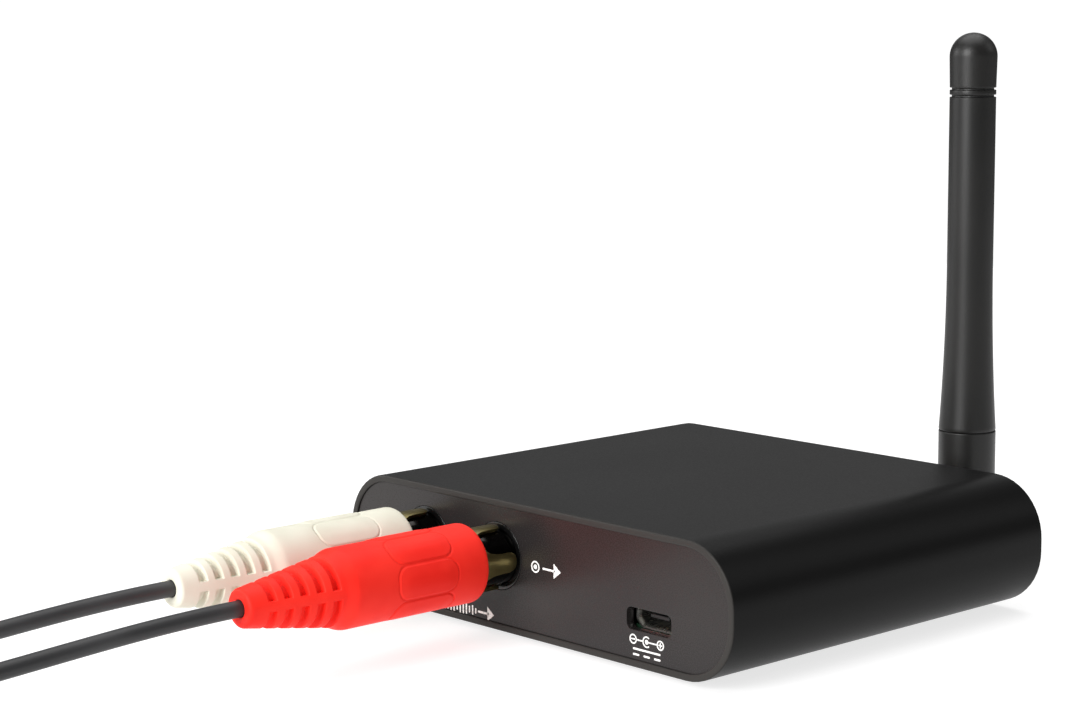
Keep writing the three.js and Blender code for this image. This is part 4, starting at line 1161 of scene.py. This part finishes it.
# ---- Aerial coupling ----
# A knurled brass nut, gold plated, that is captive on the aerial's plug core and screws onto the stem.
core_start_y, core_end_y = node_box("aerial_plug_core")[:, 1]
coupling_start, coupling_end = node_box("coupling_nut")[:, 1]
coupling_radius, neck_radius, core_radius = 4.5, 2.3, 3.0
coupling_floor = coupling_end - 1.0


def knurl(radius, along, angle):
    """Forty straight flutes, a cosine wave 0.16 deep, that run out before the nut's plain rims."""
    run = smooth(along, coupling_start + 0.7, coupling_start + 1.0)
    run = run * (1 - smooth(along, coupling_end - 1.9, coupling_end - 1.6))
    return radius - 0.16 * (0.5 + 0.5 * np.cos(40 * angle)) * run * (radius > coupling_radius - 0.05)


outside_rows = [(coupling_radius, y) for y in spread(
    (coupling_start + 0.35, 0), (coupling_start + 0.65, 1), (coupling_start + 1.05, 5), (coupling_end - 1.95, 8),
    (coupling_end - 1.55, 5), (coupling_end - 0.5, 1))]
coupling_profile = np.concatenate(
    [
        outside_rows,
        rounded(
            [(coupling_radius, coupling_end - 0.45, 0), (coupling_radius, coupling_end, 0.35),
             (neck_radius + 0.1, coupling_end, 0.1), (neck_radius + 0.1, coupling_floor, 0.1),
             (stem_radius + 0.1, coupling_floor, 0.1), (stem_radius + 0.1, coupling_start, 0.25),
             (coupling_radius, coupling_start, 0.3), (coupling_radius, coupling_start + 0.33, 0)],
            closed=False, steps=3,
        ),
    ]
)
knurled = turned(coupling_profile, at_aerial, around=320, joined=True, ripple=knurl)
coupling = build("knurled_nut", knurled, crease=44)
gold.on(coupling)
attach(coupling, "coupling_nut")
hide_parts("coupling_nut")
collar_start, collar_stop, nose_radius = stem_end + 0.05, coupling_floor - 0.05, 2.2
core_corners = [
    (0, core_start_y, 0), (nose_radius, core_start_y, 0.2), (nose_radius, collar_start, 0.05),
    (core_radius, collar_start, 0.1), (core_radius, collar_stop, 0.1), (neck_radius, collar_stop, 0.05),
    (neck_radius, core_end_y, 0.15), (0, core_end_y, 0),
]
core = build("plug_core", lathe(core_corners, at_aerial, around=64))
gold.on(core)
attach(core, "receiver")
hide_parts("aerial_plug_core")


# ---- Aerial hinge ----
# Matt black mouldings: a base that turns on the plug core, with a tongue, and a forked knuckle that tilts on
# a steel pin through the tongue. Their ends are round about the pin, so that they pass each other.
def carved(name, shell, *steps, edge=0.22):
    """A solid that each tool is cut from, joined to or kept common with in turn, with its sharp edges rounded."""
    piece, tools = build(name, shell), []
    for k, (operation, tool) in enumerate(steps):
        tools.append(build(f"{name}_tool_{k}", tool))
        made = piece.modifiers.new("carve", "BOOLEAN")
        made.operation, made.object, made.solver = operation, tools[-1], "EXACT"
    rim = piece.modifiers.new("rim", "BEVEL")
    rim.width, rim.segments, rim.limit_method, rim.angle_limit = edge * MM, 3, "ANGLE", math.radians(40)
    bpy.context.view_layer.update()
    depsgraph = bpy.context.evaluated_depsgraph_get()
    mesh = bpy.data.meshes.new_from_object(piece.evaluated_get(depsgraph), depsgraph=depsgraph)
    mesh.name = name
    piece.modifiers.clear()
    piece.data = mesh
    for tool in tools:
        bpy.data.meshes.remove(tool.data)
    return shade(piece, 40)


def along_x(outline, x0, x1):
    """A solid from an outline in Y and Z, carried along X."""
    rings, faces = solid(outline, [(x0, 0), (x1, 0)])
    return rings[..., (1, 0, 2)], faces


def brick(low, high):
    """A plain box, as a tool."""
    (x0, y0, z0), (x1, y1, z1) = low, high
    return solid(np.array([(x0, z0), (x1, z0), (x1, z1), (x0, z1)]), [(y0, 0), (y1, 0)])


hinge_y, hinge_z, knuckle = node_box("hinge_pin")[:, 1].mean(), aerial_z, 4.7
tongue_half, fork_half, hinge_play, wide = 2.05, 2.2, 0.3, 12.0
base_start, neck_floor = node_box("swivel_base")[0, 1], node_box("aerial_plug_core")[1, 1] + 0.1
seam = node_box("aerial_cover")[0, 2]
half_turn = np.linspace(0, np.pi, 49)
pin_hole = turned([(0, -wide), (1.25, -wide), (1.25, wide), (0, wide)], (aerial_x, hinge_y, hinge_z), "X", 48)

base_profile = rounded(
    [(0, neck_floor, 0), (neck_radius + 0.1, neck_floor, 0.1), (neck_radius + 0.1, base_start, 0.15),
     (knuckle, base_start, 0.35), (knuckle, base_start + 1.1, 0.1), (knuckle - 0.25, base_start + 1.25, 0.1),
     (knuckle - 0.25, base_start + 1.55, 0.1), (knuckle, base_start + 1.7, 0.1), (knuckle, hinge_y + wide, 0),
     (0, hinge_y + wide, 0)], closed=False, steps=3,
)
base_end = np.stack([hinge_y + knuckle * np.sin(half_turn), hinge_z - knuckle * np.cos(half_turn)], 1)
base_side = np.concatenate(
    [base_end, [(hinge_y, hinge_z + wide), (base_start - 1, hinge_z + wide), (base_start - 1, hinge_z - wide),
                (hinge_y, hinge_z - wide)]]
)
shoulder_y = hinge_y - knuckle - hinge_play
past, low_z, high_z = 99, hinge_z - wide, hinge_z + wide
swivel = carved(
    "swivel_base_moulding",
    turned(base_profile, at_aerial, around=96),
    ("INTERSECT", along_x(base_side, aerial_x - wide, aerial_x + wide)),
    ("DIFFERENCE", brick((aerial_x + tongue_half, shoulder_y, low_z), (aerial_x + wide, past, high_z))),
    ("DIFFERENCE", brick((aerial_x - wide, shoulder_y, low_z), (aerial_x - tongue_half, past, high_z))),
    ("DIFFERENCE", pin_hole),
)
spigot_radius, spigot_start, spigot_end = 2.9, seam - hinge_z - 0.05, seam - hinge_z + 5
fork_profile = rounded(
    [(0, -wide, 0), (knuckle, -wide, 0), (knuckle, spigot_start, 0.2), (spigot_radius, spigot_start, 0.1),
     (spigot_radius, spigot_end, 0.3), (0, spigot_end, 0)],
    closed=False, steps=3,
)
fork_end = np.stack([hinge_y - knuckle * np.cos(half_turn), hinge_z - knuckle * np.sin(half_turn)], 1)
fork_side = np.concatenate(
    [fork_end, [(hinge_y + wide, hinge_z), (hinge_y + wide, seam + wide), (hinge_y - wide, seam + wide),
                (hinge_y - wide, hinge_z)]]
)
fork = carved(
    "fork_moulding",
    turned(fork_profile, (aerial_x, hinge_y, hinge_z), "Z", 96),
    ("INTERSECT", along_x(fork_side, aerial_x - wide, aerial_x + wide)),
    ("DIFFERENCE", brick((aerial_x - fork_half, hinge_y - wide, hinge_z - wide),
                         (aerial_x + fork_half, hinge_y + wide, hinge_z + knuckle + hinge_play))),
    ("DIFFERENCE", pin_hole),
)
matt = Finish("aerial_matt", "aerial_plastic", Specular_IOR_Level=0.44)
frost = matt.grain(0.3, 3.0)
handled = matt.grain(9.0, 2.0, (1, 1, 2))
matt.set(
    Base_Color=matt.mix(tone(13, 13, 12), tone(21, 20, 19), handled.clear(0.3, 0.7)),
    Roughness=0.42 + (frost - 0.5) * 0.18 + (handled - 0.5) * 0.1,
    Normal=matt.relief(frost, 0.015, 0.6),
)
rod_radius, (rod_start, rod_end) = 1.2, node_box("hinge_pin")[:, 0] - aerial_x
rod_corners = [(0, rod_start, 0), (rod_radius, rod_start, 0.3), (rod_radius, rod_end, 0.3), (0, rod_end, 0)]
hinge_pin = build("hinge_rod", lathe(rod_corners, (aerial_x, hinge_y, hinge_z), "X", 48, 5))
steel.on(hinge_pin)
matt.on(swivel, fork)
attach(swivel, "swivel_base")
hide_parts("swivel_base")
for piece, node in ((fork, "fork_knuckle"), (hinge_pin, "hinge_pin")):
    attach(piece, "aerial_arm")
    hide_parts(node)


# ---- Aerial cover ----
# A matt black sleeve moulded in one piece over a thin brass radiator tube: flared at the seam, with two fine
# grooves below a round tip.
cover_top = node_box("aerial_cover")[1, 2]
cover_bore, tube_radius, tip_radius, flare_length = 3.0, 3.76, 3.87, 28.0
groove_drop, groove_pitch, groove_width, groove_depth = 9.1, 1.15, 0.4, 0.35
flare = np.linspace(1, 0, 40)
flare_part = np.stack([tube_radius + (knuckle - tube_radius) * flare**2, seam + (1 - flare) * flare_length], 1)
grooves = [
    corner
    for drop in (groove_drop + groove_pitch, groove_drop)
    for corner in (
        (tube_radius, cover_top - drop - groove_width / 2, 0.06),
        (tube_radius - groove_depth, cover_top - drop - groove_width / 2 + 0.05, 0.08),
        (tube_radius - groove_depth, cover_top - drop + groove_width / 2 - 0.05, 0.08),
        (tube_radius, cover_top - drop + groove_width / 2, 0.06),
    )
]
dome = np.linspace(0, np.pi / 2, 17)
bore_end = cover_top - 4
inside = rounded(
    [(0, bore_end, 0), (cover_bore, bore_end, 0.3), (cover_bore, seam, 0.3), (knuckle, seam, 0.2),
     (*flare_part[1], 0)],
    closed=False, steps=3,
)
ends = [(tube_radius, cover_top - drop, 0) for drop in (20, 8.6)]
grooved = rounded([ends[0], *grooves, ends[1]], closed=False, steps=3)
round_tip = np.stack([tip_radius * np.cos(dome), cover_top - tip_radius + tip_radius * np.sin(dome)], 1)
cover_profile = np.concatenate([inside, flare_part[2:], grooved, round_tip])
cover_profile[-1, 0] = 0
cover = build("aerial_sleeve", turned(cover_profile, (aerial_x, hinge_y, 0), "Z", 112))
matt.on(cover)
radiator_low, radiator_high = node_box("radiator_tube")
radiator_radius = (radiator_high - radiator_low)[0] / 2
radiator_bore, ends = radiator_radius - 0.3, (radiator_low[2], radiator_high[2])
radiator_shell = tube(radiator_bore, radiator_radius, *ends, 0.08, centre=(aerial_x, hinge_y, 0), axis="Z")
radiator = build("radiator_sleeve", radiator_shell)
gold.on(radiator)
for piece, node in ((cover, "aerial_cover"), (radiator, "radiator_tube")):
    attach(piece, "aerial_arm")
    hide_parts(node)
